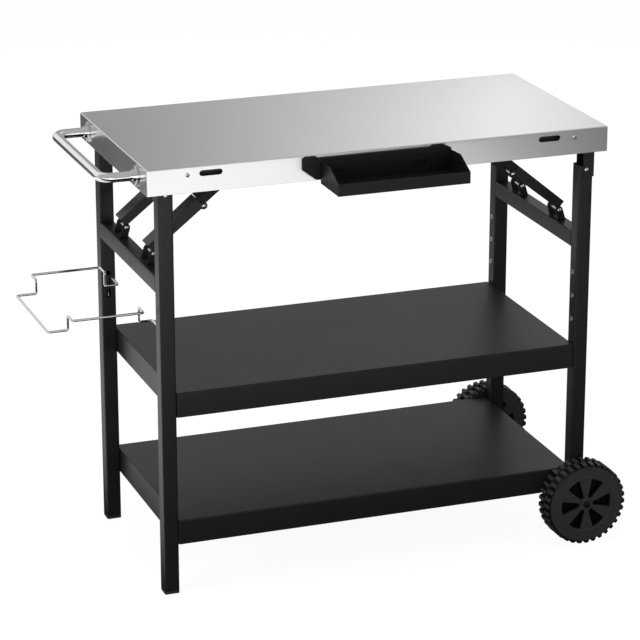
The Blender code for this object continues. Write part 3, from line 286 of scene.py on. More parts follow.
def wheel_finish():
    """The wheels' plastic, with painted shade between the lugs and down in the pockets, and darker
    in the middle of the hub caps.
    """
    finish, colour = moulding("wheel_plastic")
    across, up = finish.along("X") - AXLE[0], finish.along("Z") - AXLE[1]
    radius = (across * across + up * up) ** 0.5
    out = abs(abs(finish.along("Y") - OFFSET_Y) - WHEEL_CENTRE)
    # Masks for the dark colour: painted shade deep in the pockets and down between the lugs, and
    # the hub caps' darker middle
    beyond_cap = finish.limits(radius, *CAP_RADII)
    beyond_disc = finish.limits(radius, *DISC_RADII)
    disc = (1 - beyond_disc) * finish.limits(out, *POCKET_SHADE) + beyond_disc
    lugs = finish.limits(radius, *LUG_SHADE)
    tread = (1 - finish.limits(radius, *TREAD_RADII)) * (1 - lugs) + lugs
    finish.set("Base Color", finish.blend(beyond_cap * disc * tread, grey(DEEP_SHADE), colour))
    return finish.material


FINISHES = {
    "stainless_top": stainless_finish(),
    "chrome_plate": chrome_finish(),
    "zinc_plate": zinc_finish(),
    "rivet_nut_zinc": rivet_nut_finish(),
    "black_powder_coat": powder_coat_finish(),
    "fine_black_coat": shaded_coat_finish(),
    "black_plastic": plastic_finish(),
    "wheel_plastic": wheel_finish(),
}


def dress_nodes():
    """Give every CAD node the finish of its slot."""
    for part in frame["record"]["subparts"]:
        slots = nodes[part["node"]].data.materials
        slots.clear()
        slots.append(FINISHES[part["material_slot"]])


dress_nodes()


# Meshes

MERGE = 1e-6
FLAT_ANGLE = radians(0.5)
SHARP_ANGLE = radians(58)
SMOOTH_ANGLE = radians(50)
EDGE_SEGMENTS = 2

# An edge is rounded only where it is longer than this many times the rounding
SHORTEST_SHARE = 3

BODIES = frame["record"]["behaviour"]["bodies"]
BODY_OF = {node: body for body, members in BODIES.items() for node in members}
SLOT_OF = {part["node"]: part["material_slot"] for part in frame["record"]["subparts"]}


def added(name, data):
    """A new object in the scene."""
    made = bpy.data.objects.new(name, data)
    bpy.context.scene.collection.objects.link(made)
    return made


def evaluated_mesh(holder):
    """The object's mesh with its modifiers worked in."""
    depsgraph = bpy.context.evaluated_depsgraph_get()
    return bpy.data.meshes.new_from_object(holder.evaluated_get(depsgraph))


def mesh_of(name, bm):
    bmesh.ops.recalc_face_normals(bm, faces=bm.faces)
    mesh = bpy.data.meshes.new(name)
    bm.to_mesh(mesh)
    bm.free()
    return mesh


def show(name, mesh, slot, body, replaced=(), look=None):
    """A finished mesh as a piece of the cart, in its slot's finish unless look names another."""
    piece = added(name, mesh)
    mesh.materials.clear()
    mesh.materials.append(FINISHES[look or slot])
    mesh.shade_smooth()
    mesh.set_sharp_from_angle(angle=SMOOTH_ANGLE)
    even = piece.modifiers.new("even_normals", "WEIGHTED_NORMAL")
    even.keep_sharp = True
    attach(piece, body)
    if replaced:
        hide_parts(*replaced)
    return piece


def round_edges(bm, radius, profile):
    """Round the sharp edges that are long enough to about `radius`."""
    bmesh.ops.dissolve_limit(bm, angle_limit=FLAT_ANGLE, verts=bm.verts, edges=bm.edges)
    sharp = [edge for edge in bm.edges if edge.calc_face_angle() > SHARP_ANGLE]
    sharp = [edge for edge in sharp if edge.calc_length() > SHORTEST_SHARE * radius]
    rounding = {"offset": radius, "offset_type": "OFFSET", "segments": EDGE_SEGMENTS}
    bmesh.ops.bevel(bm, geom=sharp, profile=profile, affect="EDGES", **rounding)


def join_rings(bm, rings):
    """A skin of quads between rings that have as many points each."""
    for first, second in zip(rings, rings[1:]):
        for k in range(len(first)):
            j = (k + 1) % len(first)
            bm.faces.new((first[k], first[j], second[j], second[k]))


def fillet_path(corners, bend, steps):
    """Points along straight runs with every corner rounded to the radius bend."""
    corners = [Vector(c) for c in corners]
    path = [corners[0]]
    for before, here, after in zip(corners, corners[1:], corners[2:]):
        back, ahead = (before - here).normalized(), (after - here).normalized()
        half = back.angle(ahead) / 2
        middle = here + (back + ahead).normalized() * (bend / sin(half))
        set_back = bend / tan(half)
        start, finish = here + back * set_back - middle, here + ahead * set_back - middle
        turn = pi - 2 * half
        for k in range(steps + 1):
            part = turn * k / steps
            path.append(middle + (start * sin(turn - part) + finish * sin(part)) / sin(turn))
    return path + [corners[-1]]


def swept(path, radius, sides, crown):
    """A round bar along a path, with the rims of its two ends cut back by crown."""
    bm = bmesh.new()
    heading = (path[1] - path[0]).normalized()
    side = heading.orthogonal().normalized()
    turns = [2 * pi * k / sides for k in range(sides)]
    rings = []

    def ring(place, across, up, size):
        spokes = [(across * cos(turn) + up * sin(turn)) * size for turn in turns]
        rings.append([bm.verts.new(place + spoke) for spoke in spokes])

    last = len(path) - 1
    for k, place in enumerate(path):
        ahead = (path[k + 1] - place).normalized() if k < last else heading
        behind = (place - path[k - 1]).normalized() if k else ahead
        mean = (ahead + behind).normalized()
        side = (side - mean * side.dot(mean)).normalized()
        up = mean.cross(side)
        if k == 0:
            ring(place, side, up, radius - crown)
            ring(place + mean * crown, side, up, radius)
        elif k == last:
            ring(place - mean * crown, side, up, radius)
            ring(place, side, up, radius - crown)
        else:
            ring(place, side, up, radius)
        heading = ahead
    join_rings(bm, rings)
    bm.faces.new(rings[0])
    bm.faces.new(rings[-1])
    return bm


# Geometry Nodes for what repeats

# Heads start as a ball, whose lower half is pressed flat. A small fullness gives a full dome,
# and the recess is long and wide in shares of the head's radius.
BALL = {"Segments": 28, "Rings": 16, "Radius": 1.0}
UNDERSIDE = 0.0002
PAN_FULLNESS = 0.55
PIN_FULLNESS = 0.75
RECESS_LENGTH = 1.05
RECESS_WIDTH = 0.24

SHANK_SIDES = 20
LUG_GRID = {"Vertices X": 3, "Vertices Y": 4, "Vertices Z": 3}
LUG_TAPER = 0.09
RING_STEPS = 28
RING_SIDES = 12


class Shape(Graph):
    """A Geometry Nodes tree with named inputs that turns marked points into pieces."""

    def __init__(self, name, inputs):
        super().__init__(bpy.data.node_groups.new(name, "GeometryNodeTree"))
        sockets = self.tree.interface
        sockets.new_socket("Geometry", in_out="INPUT", socket_type="NodeSocketGeometry")
        self.identifiers = {}
        for label in inputs:
            socket = sockets.new_socket(label, in_out="INPUT", socket_type="NodeSocketFloat")
            self.identifiers[label] = socket.identifier
        sockets.new_socket("Geometry", in_out="OUTPUT", socket_type="NodeSocketGeometry")
        self.start = self.tree.nodes.new("NodeGroupInput")
        self.end = self.tree.nodes.new("NodeGroupOutput")

    def given(self, label):
        return Field(self, self.start.outputs[label])

    def vector(self, x, y, z):
        return self.node("ShaderNodeCombineXYZ", None, {"X": x, "Y": y, "Z": z})

    def attribute(self, name, kind):
        return self.node("GeometryNodeInputNamedAttribute", {"data_type": kind}, {"Name": name})

    def moved(self, geometry, position):
        values = {"Geometry": geometry, "Position": position}
        return self.node("GeometryNodeSetPosition", None, values)

    def dome(self, fullness):
        """A ball pressed flat below and raised to the given head above."""
        ball = self.node("GeometryNodeMeshUVSphere", None, BALL)
        place = self.node("GeometryNodeInputPosition")
        x, y, z = (self.part(place, axis) for axis in "XYZ")
        radius, height = self.given("Head Radius"), self.given("Head Height")
        rise = z.at_least(0.0) ** fullness * height + z.at_most(0.0) * UNDERSIDE
        return self.moved(ball, self.vector(x * radius, y * radius, rise))

    def end_with(self, piece):
        """Stand the piece on every point, along its facing, and close the tree."""
        facing = {"Vector": self.attribute("facing", "FLOAT_VECTOR")}
        turn = self.node("FunctionNodeAlignRotationToVector", {"axis": "Z"}, facing)
        settings = {"axis": "Y", "pivot_axis": "Z"}
        values = {"Rotation": turn, "Vector": self.attribute("beside", "FLOAT_VECTOR")}
        turn = self.node("FunctionNodeAlignRotationToVector", settings, values)
        stretch = self.vector(1.0, 1.0, self.attribute("reach", "FLOAT"))
        values = {"Points": self.given("Geometry"), "Instance": piece}
        values |= {"Rotation": turn, "Scale": stretch}
        placed = self.node("GeometryNodeInstanceOnPoints", None, values)
        solid = self.node("GeometryNodeRealizeInstances", None, {0: placed})
        self.put(self.end.inputs[0], solid)

    def grow(self, name, points, sizes, slot, body, replaced=(), look=None):
        """Points are (place, facing, reach), and where the turn about facing matters, beside."""
        mesh = bpy.data.meshes.new(name + "_points")
        mesh.from_pydata([point[0] for point in points], [], [])
        besides = [(point[3:] or [(1, 0, 0)])[0] for point in points]
        for label, vectors in (("facing", [point[1] for point in points]), ("beside", besides)):
            attribute = mesh.attributes.new(label, "FLOAT_VECTOR", "POINT")
            attribute.data.foreach_set("vector", [c for vector in vectors for c in vector])
        reach = mesh.attributes.new("reach", "FLOAT", "POINT")
        reach.data.foreach_set("value", [point[2] for point in points])
        seed = added(name + "_points", mesh)
        modifier = seed.modifiers.new("shape", "NODES")
        modifier.node_group = self.tree
        for label, size in sizes.items():
            modifier[self.identifiers[label]] = size
        made = evaluated_mesh(seed)
        made.name = name
        bpy.data.objects.remove(seed)
        return show(name, made, slot, body, replaced, look)


def screw_head_shape():
    """A low pan head with a cross recess."""
    shape = Shape("screw_head", ["Head Radius", "Head Height", "Recess"])
    head = shape.dome(PAN_FULLNESS)
    radius, lift = shape.given("Head Radius"), shape.vector(0.0, 0.0, shape.given("Head Height"))
    long_side, short_side = radius * RECESS_LENGTH, radius * RECESS_WIDTH
    deep = shape.given("Recess") * 2.0
    blades = []
    for size in ((long_side, short_side, deep), (short_side, long_side, deep)):
        blade = shape.node("GeometryNodeMeshCube", None, {"Size": shape.vector(*size)})
        values = {"Geometry": blade, "Translation": lift}
        blades.append(shape.node("GeometryNodeTransform", None, values))
    settings = {"operation": "DIFFERENCE", "solver": "EXACT"}
    values = {"Mesh 1": head, "Mesh 2": blades}
    shape.end_with(shape.node("GeometryNodeMeshBoolean", settings, values))
    return shape


def pin_head_shape():
    """The domed head of a pin."""
    shape = Shape("pin_head", ["Head Radius", "Head Height"])
    shape.end_with(shape.dome(PIN_FULLNESS))
    return shape


def shank_shape():
    """The plain shank of a pin, as long as its point's reach."""
    shape = Shape("pin_shank", ["Radius"])
    values = {"Vertices": SHANK_SIDES, "Radius": shape.given("Radius"), "Depth": 1.0}
    shape.end_with(shape.node("GeometryNodeMeshCylinder", None, values))
    return shape


def lug_shape():
    """A tread lug: a block with rounded sides that narrows towards its top."""
    shape = Shape("tread_lug", ["Length", "Width", "Height", "Rounding"])
    block = shape.node("GeometryNodeMeshCube", None, LUG_GRID)
    place = shape.node("GeometryNodeInputPosition")
    corner = shape.node("ShaderNodeVectorMath", {"operation": "SCALE"}, {0: place, "Scale": 2.0})
    ball = shape.node("ShaderNodeVectorMath", {"operation": "NORMALIZE"}, {0: corner})
    values = {0: shape.given("Rounding"), 4: corner, 5: ball}
    mixed = shape.node("ShaderNodeMix", {"data_type": "VECTOR"}, values, 1)
    x, y, z = (shape.part(mixed, axis) for axis in "XYZ")
    taper = 0.5 - z * LUG_TAPER
    wide, long = x * taper * shape.given("Width"), y * taper * shape.given("Length")
    high = z * 0.5 * shape.given("Height")
    shape.end_with(shape.moved(block, shape.vector(wide, long, high)))
    return shape


def rivet_ring_shape():
    """The flange of a rivet nut: a low ring round an open thread."""
    shape = Shape("rivet_ring", ["Outer Radius", "Bore Radius", "Height"])
    outer, bore = shape.given("Outer Radius"), shape.given("Bore Radius")
    middle, thick = (outer + bore) * 0.5, (outer - bore) * 0.5
    circle = "GeometryNodeCurvePrimitiveCircle"
    path = shape.node(circle, None, {"Resolution": RING_STEPS, "Radius": middle})
    profile = shape.node(circle, None, {"Resolution": RING_SIDES, "Radius": thick})
    values = {"Curve": path, "Profile Curve": profile}
    ring = shape.node("GeometryNodeCurveToMesh", None, values)
    flat = shape.vector(1.0, 1.0, shape.given("Height") / thick)
    shape.end_with(shape.node("GeometryNodeTransform", None, {"Geometry": ring, "Scale": flat}))
    return shape


# Sheet, tube and moulded pieces: the CAD shapes with worked edges

SHEET_EDGE = 0.00035
TUBE_EDGE = 0.0004
MOULDED_EDGE = 0.0006
WORKED_PROFILE = 0.6

BRACE_SETS = ["front_left", "front_right", "back_left", "back_right"]


def brace_nodes(*parts):
    return [f"brace_{part}_{place}" for part in parts for place in BRACE_SETS]


SHEET_NODES = ["tabletop", "side_tray", "tray_hanger", "end_rail_left", "end_rail_right"]
SHEET_NODES += ["side_rail_front", "side_rail_back", "top_stiffener_front", "top_stiffener_back"]
SHEET_NODES += ["shelf_middle", "shelf_lower", "crossbar_left", "crossbar_right"]
SHEET_NODES += ["handle_flange_front", "handle_flange_back"]
SHEET_NODES += brace_nodes("clevis", "lower", "upper")
TUBE_NODES = [f"leg_{place}" for place in BRACE_SETS]
CAP_NODES = ["hub_cap_front", "hub_cap_back"]
MOULDED_NODES = ["foot_cap_front", "foot_cap_back", "leg_plug_front", "leg_plug_back", *CAP_NODES]

# Pieces whose darker coat is painted shade: the tray, its hanger, the brace clevises and the upper
# braces
SHADED_COAT_NODES = ["side_tray", "tray_hanger", *brace_nodes("clevis", "upper")]
OWN_LOOK = dict.fromkeys(SHADED_COAT_NODES, "fine_black_coat") | dict.fromkeys(CAP_NODES, "wheel_plastic")


def softened(node, edge):
    """A CAD node again, with its sharp edges rounded to about `edge`."""
    bm = bmesh.new()
    bm.from_mesh(nodes[node].data)
    bmesh.ops.remove_doubles(bm, verts=bm.verts, dist=MERGE)
    round_edges(bm, edge, WORKED_PROFILE)
    name = node + "_finished"
    look = OWN_LOOK.get(node)
    return show(name, mesh_of(name, bm), SLOT_OF[node], BODY_OF[node], [node], look)


WORKED = ((SHEET_NODES, SHEET_EDGE), (TUBE_NODES, TUBE_EDGE), (MOULDED_NODES, MOULDED_EDGE))
for group, worked_edge in WORKED:
    for node in group:
        softened(node, worked_edge)


# Chrome: the handle and the bag rack

HANDLE_RADIUS = 0.0095
HANDLE_BEND = 0.024
HANDLE_BEND_STEPS = 14
HANDLE_SIDES = 48
HANDLE_CROWN = 0.0008
HANDLE_ROOT_X = -0.4132
HANDLE_BAR_X = -0.47955
HANDLE_Z = 0.8435
HANDLE_HALF_SPAN = 0.168


def build_handle():
    """The push handle: one tube bent twice, with its ends in the flanges."""
    half = [(HANDLE_ROOT_X, -HANDLE_HALF_SPAN), (HANDLE_BAR_X, -HANDLE_HALF_SPAN)]
    corners = half + [(x, -y) for x, y in reversed(half)]
    corners = [(x, y + OFFSET_Y, HANDLE_Z) for x, y in corners]
    path = fillet_path(corners, HANDLE_BEND, HANDLE_BEND_STEPS)
    bar = swept(path, HANDLE_RADIUS, HANDLE_SIDES, HANDLE_CROWN)
    mesh = mesh_of("handle_tube_finished", bar)
    show("handle_tube_finished", mesh, "chrome_plate", "frame", ["handle_tube"])


WIRE_RADIUS = 0.0025
WIRE_BEND = 0.0042
WIRE_BEND_STEPS = 6
WIRE_SIDES = 20
WIRE_CROWN = 0.0005
LEG_X = -0.37095
LEG_INNER_Y = 0.188
RACK_TAIL_Y = LEG_INNER_Y + 0.0030
RACK_HOOK_Y = LEG_INNER_Y + 0.0062
RACK_HOOK_Z = 0.4905
RACK_LOW_Z = 0.5355
RACK_ARM_Z = 0.5645
RACK_BAR_Y = 0.1184
RACK_ARM_Y = 0.1518
RACK_INNER_X = -0.39855
RACK_STEP_X = -0.53995
RACK_OUTER_X = -0.57985


def build_rack():
    """The bag rack: one wire, hooked into both left legs and the same on either side."""
    half = [
        (LEG_X, RACK_TAIL_Y, RACK_HOOK_Z),
        (LEG_X, RACK_HOOK_Y, RACK_HOOK_Z),
        (LEG_X, RACK_HOOK_Y, RACK_LOW_Z),
        (LEG_X, RACK_BAR_Y, RACK_LOW_Z),
        (RACK_INNER_X, RACK_BAR_Y, RACK_LOW_Z),
        (RACK_INNER_X, RACK_BAR_Y, RACK_ARM_Z),
        (RACK_INNER_X, RACK_ARM_Y, RACK_ARM_Z),
        (RACK_STEP_X, RACK_ARM_Y, RACK_ARM_Z),
        (RACK_STEP_X, RACK_BAR_Y, RACK_ARM_Z),
        (RACK_STEP_X, RACK_BAR_Y, RACK_LOW_Z),
        (RACK_OUTER_X, RACK_BAR_Y, RACK_LOW_Z),
    ]
    corners = half + [(x, -y, z) for x, y, z in reversed(half)]
    corners = [(x, y + OFFSET_Y, z) for x, y, z in corners]
    path = fillet_path(corners, WIRE_BEND, WIRE_BEND_STEPS)
    wire = swept(path, WIRE_RADIUS, WIRE_SIDES, WIRE_CROWN)
    mesh = mesh_of("bag_rack_finished", wire)
    show("bag_rack_finished", mesh, "chrome_plate", "rack", ["bag_rack"])


build_handle()
build_rack()


# Wheels: a moulded tyre with two staggered rows of lugs round a disc with six pockets a side

WHEEL_Y = {"front": -0.21675, "back": 0.27355}
WHEEL_HALF = 0.02515
WHEEL_SEGMENTS = 102

# Radius, and distance out from the wheel's middle, from the bore's outer end round to its inner end
WHEEL_PROFILE = [
    (0.0053, 0.02515),
    (0.0098, 0.02515),
    (0.0112, 0.0247),
    (0.0124, 0.0236),
    (0.0556, 0.0236),
    (0.0564, 0.0240),
    (0.0571, 0.02500),
    (0.0579, 0.02515),
    (0.0586, 0.02500),
    (0.0593, 0.02440),
    (0.0600, 0.02425),
    (0.0770, 0.02425),
    (0.0792, 0.0242),
    (0.0803, 0.0226),
    (0.0803, 0.0018),
    (0.0795, 0.0012),
    (0.0795, -0.0012),
    (0.0803, -0.0018),
    (0.0803, -0.0226),
    (0.0792, -0.0242),
    (0.0770, -0.0248),
    (0.0580, -0.02515),
    (0.0560, -0.0240),
    (0.0140, -0.0240),
    (0.0118, -0.02515),
    (0.0053, -0.02515),
]

POCKET_COUNT = 6
POCKET_PHASE_DEGREES = 3.0
POCKET_HALF_ANGLE = radians(15.9)
POCKET_CENTRE = 0.0344
POCKET_DEPTH = 0.0210
POCKET_CLEAR = 0.004
POCKET_DRAFT = 0.04
POCKET_EDGE = 0.0006
POCKET_PROFILE = 0.5

# Radius, and share of the half angle, from the pocket's rim down one flank and up the other
POCKET_OUTLINE = [(0.0550, share) for share in (-0.9, -0.6, -0.3, 0.0, 0.3, 0.6, 0.9)]
POCKET_FLANK = [(0.0535, 1.0), (0.0300, 1.0), (0.0178, 1.0), (0.0138, 0.45)]
POCKET_OUTLINE += POCKET_FLANK + [(radius, -share) for radius, share in reversed(POCKET_FLANK)]

LUG_COUNT = 34
LUG_PHASE = 0.046
LUG_RADIUS = 0.08235
LUG_MIDDLE = 0.0131
LUG_SIZES = {"Length": 0.0242, "Width": 0.0094, "Height": 0.0083, "Rounding": 0.30}


def about_axle(row, radius, angle, out):
    """A wheel's point from its radius and angle about the axle and its distance out."""
    side = -1 if row == "front" else 1
    across, up = radius * cos(angle), radius * sin(angle)
    return Vector((AXLE[0] + across, WHEEL_Y[row] + side * out, AXLE[1] + up))


def wheel_body(row):
    """The tyre and disc, turned from the profile."""
    bm = bmesh.new()
    turns = [2 * pi * k / WHEEL_SEGMENTS for k in range(WHEEL_SEGMENTS)]
    rings = []
    for radius, out in WHEEL_PROFILE:
        rings.append([bm.verts.new(about_axle(row, radius, turn, out)) for turn in turns])
    join_rings(bm, rings + rings[:1])
    return bm


def pocket_cutters(row, side):
    """Wedges with drawn-in floors, sunk into the disc's outer (1) or inner (-1) face."""
    bm = bmesh.new()
    above, below = WHEEL_HALF + POCKET_CLEAR, WHEEL_HALF - POCKET_DEPTH
    for number in range(POCKET_COUNT):
        middle = radians(POCKET_PHASE_DEGREES + 360 * number / POCKET_COUNT)
        rings = []
        for out, inset in ((above, 0.0), (below, POCKET_DRAFT)):
            ring = []
            for radius, share in POCKET_OUTLINE:
                drawn = radius + (POCKET_CENTRE - radius) * inset
                angle = middle + POCKET_HALF_ANGLE * share * (1 - inset)
                ring.append(bm.verts.new(about_axle(row, drawn, angle, side * out)))
            rings.append(ring)
        join_rings(bm, rings)
        bm.faces.new(rings[0])
        bm.faces.new(rings[1])
    return bm


def build_wheel(row):
    """A wheel's moulding with its pockets cut and its edges rounded."""
    body = added("wheel_blank", mesh_of("wheel_blank", wheel_body(row)))
    helpers = [body]
    for side in (1, -1):
        cutter = added("wheel_pockets", mesh_of("wheel_pockets", pocket_cutters(row, side)))
        helpers.append(cutter)
        pockets = body.modifiers.new("pockets", "BOOLEAN")
        pockets.operation, pockets.solver, pockets.object = "DIFFERENCE", "EXACT", cutter
    cut = evaluated_mesh(body)
    for helper in helpers:
        bpy.data.objects.remove(helper)
    bm = bmesh.new()
    bm.from_mesh(cut)
    round_edges(bm, POCKET_EDGE, POCKET_PROFILE)
    name = f"wheel_{row}_moulding"
    mesh = mesh_of(name, bm)
    show(name, mesh, "black_plastic", f"{row}_wheel", [f"wheel_{row}"], "wheel_plastic")


def build_lugs(row, lugs):
    """Two rings of lugs, of which the outer one is half a step further round."""
    points = []
    for side, stagger in ((-1, 0.0), (1, 0.5)):
        for number in range(LUG_COUNT):
            angle = 2 * pi * (number + stagger) / LUG_COUNT + LUG_PHASE
            place = about_axle(row, LUG_RADIUS, angle, side * LUG_MIDDLE)
            points.append((tuple(place), (cos(angle), 0, sin(angle)), 1.0, (0, 1, 0)))
    body, look = f"{row}_wheel", "wheel_plastic"
    lugs.grow(f"wheel_{row}_lugs", points, LUG_SIZES, "black_plastic", body, look=look)


def build_wheels():
    lugs = lug_shape()
    for row in WHEEL_Y:
        build_wheel(row)
        build_lugs(row, lugs)


build_wheels()


# Fasteners

RIM_Y = (-0.2016, 0.2584)
RIM_SCREW_X = (-0.33075, 0.46325)
RIM_SCREW_Z = 0.8525
FLANGE_FACE_X = -0.41315
FLANGE_SCREW_RISE = 0.015
SCREW_SIZES = {"Head Radius": 0.0042, "Head Height": 0.0024, "Recess": 0.0011}

PIN_HEAD_HEIGHT = 0.0026
PIN_HEAD_SIZES = {"Head Radius": 0.0046, "Head Height": PIN_HEAD_HEIGHT}
SHANK_SIZES = {"Radius": 0.003}
PIN_NODES = brace_nodes("foot_pin", "knuckle_pin", "head_pin")
PIN_NODES += [f"pivot_bolt_{place}" for place in BRACE_SETS]

RIVET_HEIGHTS = (0.466, 0.5155, 0.565)
LEG_INSIDES = ((-0.35595, 1), (0.48085, -1))
LEG_Y = (-0.1746, 0.2314)
RIVET_SIZES = {"Outer Radius": 0.0056, "Bore Radius": 0.0024, "Height": 0.0015}


def build_screws():
    """The screws of the long rims and of the handle's flanges."""
    points = []
    for x in RIM_SCREW_X:
        points += [((x, y, RIM_SCREW_Z), (0, -1 if y < 0 else 1, 0), 1.0) for y in RIM_Y]
    for y in (OFFSET_Y - HANDLE_HALF_SPAN, OFFSET_Y + HANDLE_HALF_SPAN):
        for z in (HANDLE_Z - FLANGE_SCREW_RISE, HANDLE_Z + FLANGE_SCREW_RISE):
            points.append(((FLANGE_FACE_X, y, z), (-1, 0, 0), 1.0))
    screw_head_shape().grow("screw_heads", points, SCREW_SIZES, "zinc_plate", "frame")


def build_pins():
    """Domed pins in place of the plain ones, where the frame's boxes put them."""
    ends, middles = [], []
    for node in PIN_NODES:
        low, high = (Vector(corner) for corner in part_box(node))
        middle = (low + high) / 2
        reach = (high.y - low.y) / 2 - PIN_HEAD_HEIGHT
        middles.append((tuple(middle), (0, 1, 0), 2 * reach))
        for side in (-1, 1):
            ends.append(((middle.x, middle.y + side * reach, middle.z), (0, side, 0), 1.0))
    pin_head_shape().grow("pin_heads", ends, PIN_HEAD_SIZES, "zinc_plate", "frame", PIN_NODES)
    shank_shape().grow("pin_shanks", middles, SHANK_SIZES, "zinc_plate", "frame")


def build_rivets():
    """Three rivet nuts on the inside of each leg."""
    points = []
    for x, facing in LEG_INSIDES:
        points += [((x, y, z), (facing, 0, 0), 1.0) for y in LEG_Y for z in RIVET_HEIGHTS]
    rings, look = rivet_ring_shape(), "rivet_nut_zinc"
    rings.grow("rivet_nut_rings", points, RIVET_SIZES, "zinc_plate", "frame", look=look)


build_screws()
build_pins()
build_rivets()


# Stage, light and camera

CAMERA_PLACE = (-1.85615, -5.08125, 2.3074)
CAMERA_AZIMUTH_DEGREES = 20.1313
CAMERA_ELEVATION_DEGREES = 18.8183
CAMERA_SENSOR = 36.0
CAMERA_LENS = 159.9
CAMERA_REACH = 100.0

# Sky: how bright it is on the cart, and to metal, also where it is brighter at the back left
AMBIENT = 0.35
GLOSSY_SKY = 0.46
GLOSSY_LEFT_SKY = 0.92
LEFT_SKY_RANGE = (-0.10, 0.15)
BACK_SKY_RANGE = (0.15, 0.5)

# Floor: as the camera sees it, then as metal sees it, in front of the cart, behind and beside it
FLOOR_HALF = 40.0
FLOOR_COLOUR = 0.95
SHADOW_SHARE = 0.12
OPEN_FLOOR = 1.07
FLOOR_NEAR = 0.01
FLOOR_BRIGHT = 1.36
FLOOR_FRONT_RIGHT = 0.03
BRIGHT_STARTS = (1.5, 2.15)
BRIGHT_ENDS = (1.15, 1.60)
FAR_RIGHT = (2.4, 3.2)
FAR_RIGHT_LEVEL = 0.55
FLOOR_BEHIND = 1.03
BEHIND_STARTS = (0.3, 1.3)
BEHIND_ENDS = (1.85, 2.35)
BEHIND_RIGHT = (-0.75, -0.35)
BEHIND_RIGHT_SHARE = 0.45
FLOOR_FAR_BEHIND = 0.10
FAR_SIDE = (-0.5, 0.5)
FAR_SIDE_BEHIND = 0.45
FLOOR_BESIDE = 1.0
BESIDE_ENDS = (-0.60, -0.40)
BESIDE_STARTS = (-0.6, -0.1)

# Reflector: its corners, and its strength from left to right
CARD_Y = 0.85
CARD_X = (-0.34, 3.0)
CARD_Z = (1.0, 2.3)
CARD_LOW = 0.245
CARD_RISE = 0.74
CARD_CURVE = 1.8
CARD_RANGE = (-0.6, 0.76)
CARD_FALL = 0.25
CARD_FADES = (0.78, 1.12)

# Name, place, target, width and height, watts, and whether metal mirrors the lamp
LAMPS = [
    ("left_bank", (-2.6, -0.6, 1.3), (0.0, 0.0, 0.5), (1.6, 1.6), 42, False),
    ("overhead_bank", (0.2, 0.0, 3.2), (0.0, 0.0, 0.4), (2.4, 1.6), 34, False),
    ("back_bank", (2.0, 3.2, 2.4), (0.0, 0.0, 0.6), (1.6, 1.4), 24, False),
    ("front_bank", (-1.2, -3.4, 0.7), (0.0, 0.0, 0.5), (1.0, 1.0), 4, True),
]


def light_paths(graph):
    """1 on camera rays and 0 on others, and 1 on reflected and refracted rays and 0 on others."""
    seen = graph.node("ShaderNodeLightPath", output="Is Camera Ray")
    mirrored = graph.node("ShaderNodeLightPath", output="Is Glossy Ray")
    through = graph.node("ShaderNodeLightPath", output="Is Transmission Ray")
    return seen, mirrored + through


def stage_plane(name, corners, material):
    mesh = bpy.data.meshes.new(name)
    mesh.from_pydata(corners, [], [(0, 1, 2, 3)])
    mesh.materials.append(material)
    added(name, mesh)


def floor_strength(finish):
    """What metal sees of the floor: bright in front, beside and behind, and dim near the cart."""
    across, inward = finish.along("X"), finish.along("Y")
    level = between(finish.limits(across, *BRIGHT_ENDS), FLOOR_BRIGHT, FLOOR_FRONT_RIGHT)
    level = level + finish.limits(across, *FAR_RIGHT) * (FAR_RIGHT_LEVEL - FLOOR_FRONT_RIGHT)
    in_front = finish.limits(0 - inward, *BRIGHT_STARTS) * level
    right = finish.limits(across, *BEHIND_RIGHT)
    near_level = between(right, FLOOR_BEHIND, FLOOR_BEHIND * BEHIND_RIGHT_SHARE)
    far_level = between(finish.limits(across, *FAR_SIDE), FLOOR_FAR_BEHIND, FAR_SIDE_BEHIND)
    begun, far = finish.limits(inward, *BEHIND_STARTS), finish.limits(inward, *BEHIND_ENDS)
    behind = begun * (near_level * (1 - far) + far_level * far)
    beside = (1 - finish.limits(across, *BESIDE_ENDS)) * finish.limits(inward, *BESIDE_STARTS)
    return FLOOR_NEAR + in_front + behind + beside * (1 - begun) * FLOOR_BESIDE


def build_floor():
    """White to the camera apart from the shadow, and graded to metal."""
    finish = Finish("pale_floor", grey(FLOOR_COLOUR), roughness=0.9)
    seen, mirrored = light_paths(finish)
    glow = finish.glow(seen * OPEN_FLOOR + mirrored * floor_strength(finish))
    lit = Field(finish, finish.shader.outputs[0])
    finish.show_mixed(seen * (1 - SHADOW_SHARE) + mirrored, lit, glow)
    half = FLOOR_HALF
    corners = [(-half, -half, 0), (half, -half, 0), (half, half, 0), (-half, half, 0)]
    stage_plane("floor", corners, finish.material)


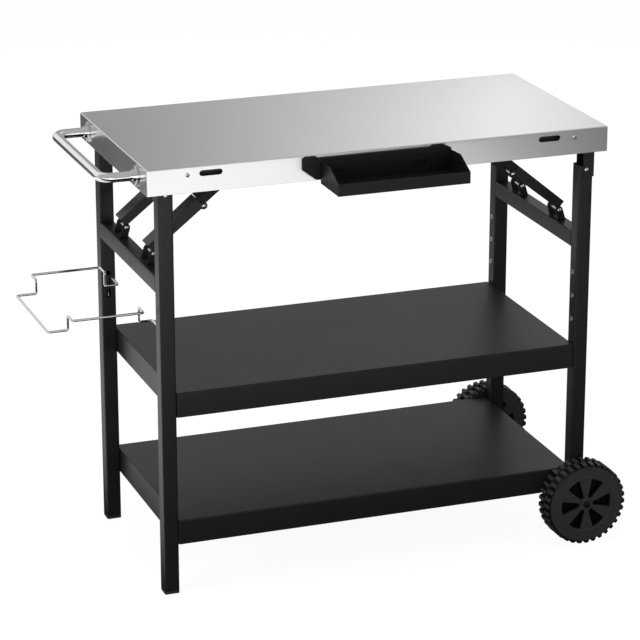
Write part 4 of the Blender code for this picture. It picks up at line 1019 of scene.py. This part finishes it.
def build_card():
    """A graded reflector behind the worktop that only reflections see."""
    finish = Finish("reflector", grey(0.8), roughness=0.9)
    mirrored = light_paths(finish)[1]
    across = finish.along("X")
    reach = {"Value": across, "From Min": CARD_RANGE[0], "From Max": CARD_RANGE[1]}
    rise = finish.node("ShaderNodeMapRange", None, reach) ** CARD_CURVE
    strength = CARD_LOW + rise * CARD_RISE - finish.limits(across, *CARD_FADES) * CARD_FALL
    clear = finish.node("ShaderNodeBsdfTransparent")
    finish.show_mixed(mirrored, clear, finish.glow(strength))
    (left, right), (low, high), y = CARD_X, CARD_Z, CARD_Y
    corners = [(left, y, low), (right, y, low), (right, y, high), (left, y, high)]
    stage_plane("reflector", corners, finish.material)


def build_world():
    """A white sky, dimmer on the cart and to metal, which sees it brighter at the back left."""
    world = bpy.data.worlds.new("studio")
    bpy.context.scene.world = world
    world.use_nodes = True
    graph = Graph(world.node_tree)
    sky = world.node_tree.nodes["Background"]
    graph.put(sky.inputs["Color"], WHITE)
    seen, mirrored = light_paths(graph)
    across, inward = graph.along("X", "Generated"), graph.along("Y", "Generated")
    left = (1 - graph.limits(across, *LEFT_SKY_RANGE)) * graph.limits(inward, *BACK_SKY_RANGE)
    glossy = between(left, GLOSSY_SKY - AMBIENT, GLOSSY_LEFT_SKY - AMBIENT)
    graph.put(sky.inputs["Strength"], seen * (1 - AMBIENT) + mirrored * glossy + AMBIENT)


def build_lamps():
    for name, place, target, size, watts, mirrored in LAMPS:
        lamp = bpy.data.lights.new(name, "AREA")
        lamp.shape = "RECTANGLE"
        lamp.size, lamp.size_y = size
        lamp.energy = watts
        holder = added(name, lamp)
        holder.location = place
        aim = Vector(target) - Vector(place)
        holder.rotation_euler = aim.to_track_quat("-Z", "Y").to_euler()
        holder.visible_glossy = mirrored


def build_camera():
    """The photograph's camera, from the fit to its edge points."""
    camera = bpy.data.cameras.new("photo_camera")
    camera.sensor_width = CAMERA_SENSOR
    camera.lens = CAMERA_LENS
    camera.clip_end = CAMERA_REACH
    holder = added("photo_camera", camera)
    holder.location = CAMERA_PLACE
    tilt, turn = radians(90 - CAMERA_ELEVATION_DEGREES), -radians(CAMERA_AZIMUTH_DEGREES)
    holder.rotation_euler = (tilt, 0.0, turn)
    bpy.context.scene.camera = holder


build_floor()
build_card()
build_world()
build_lamps()
build_camera()
bpy.context.scene.view_settings.view_transform = "Standard"
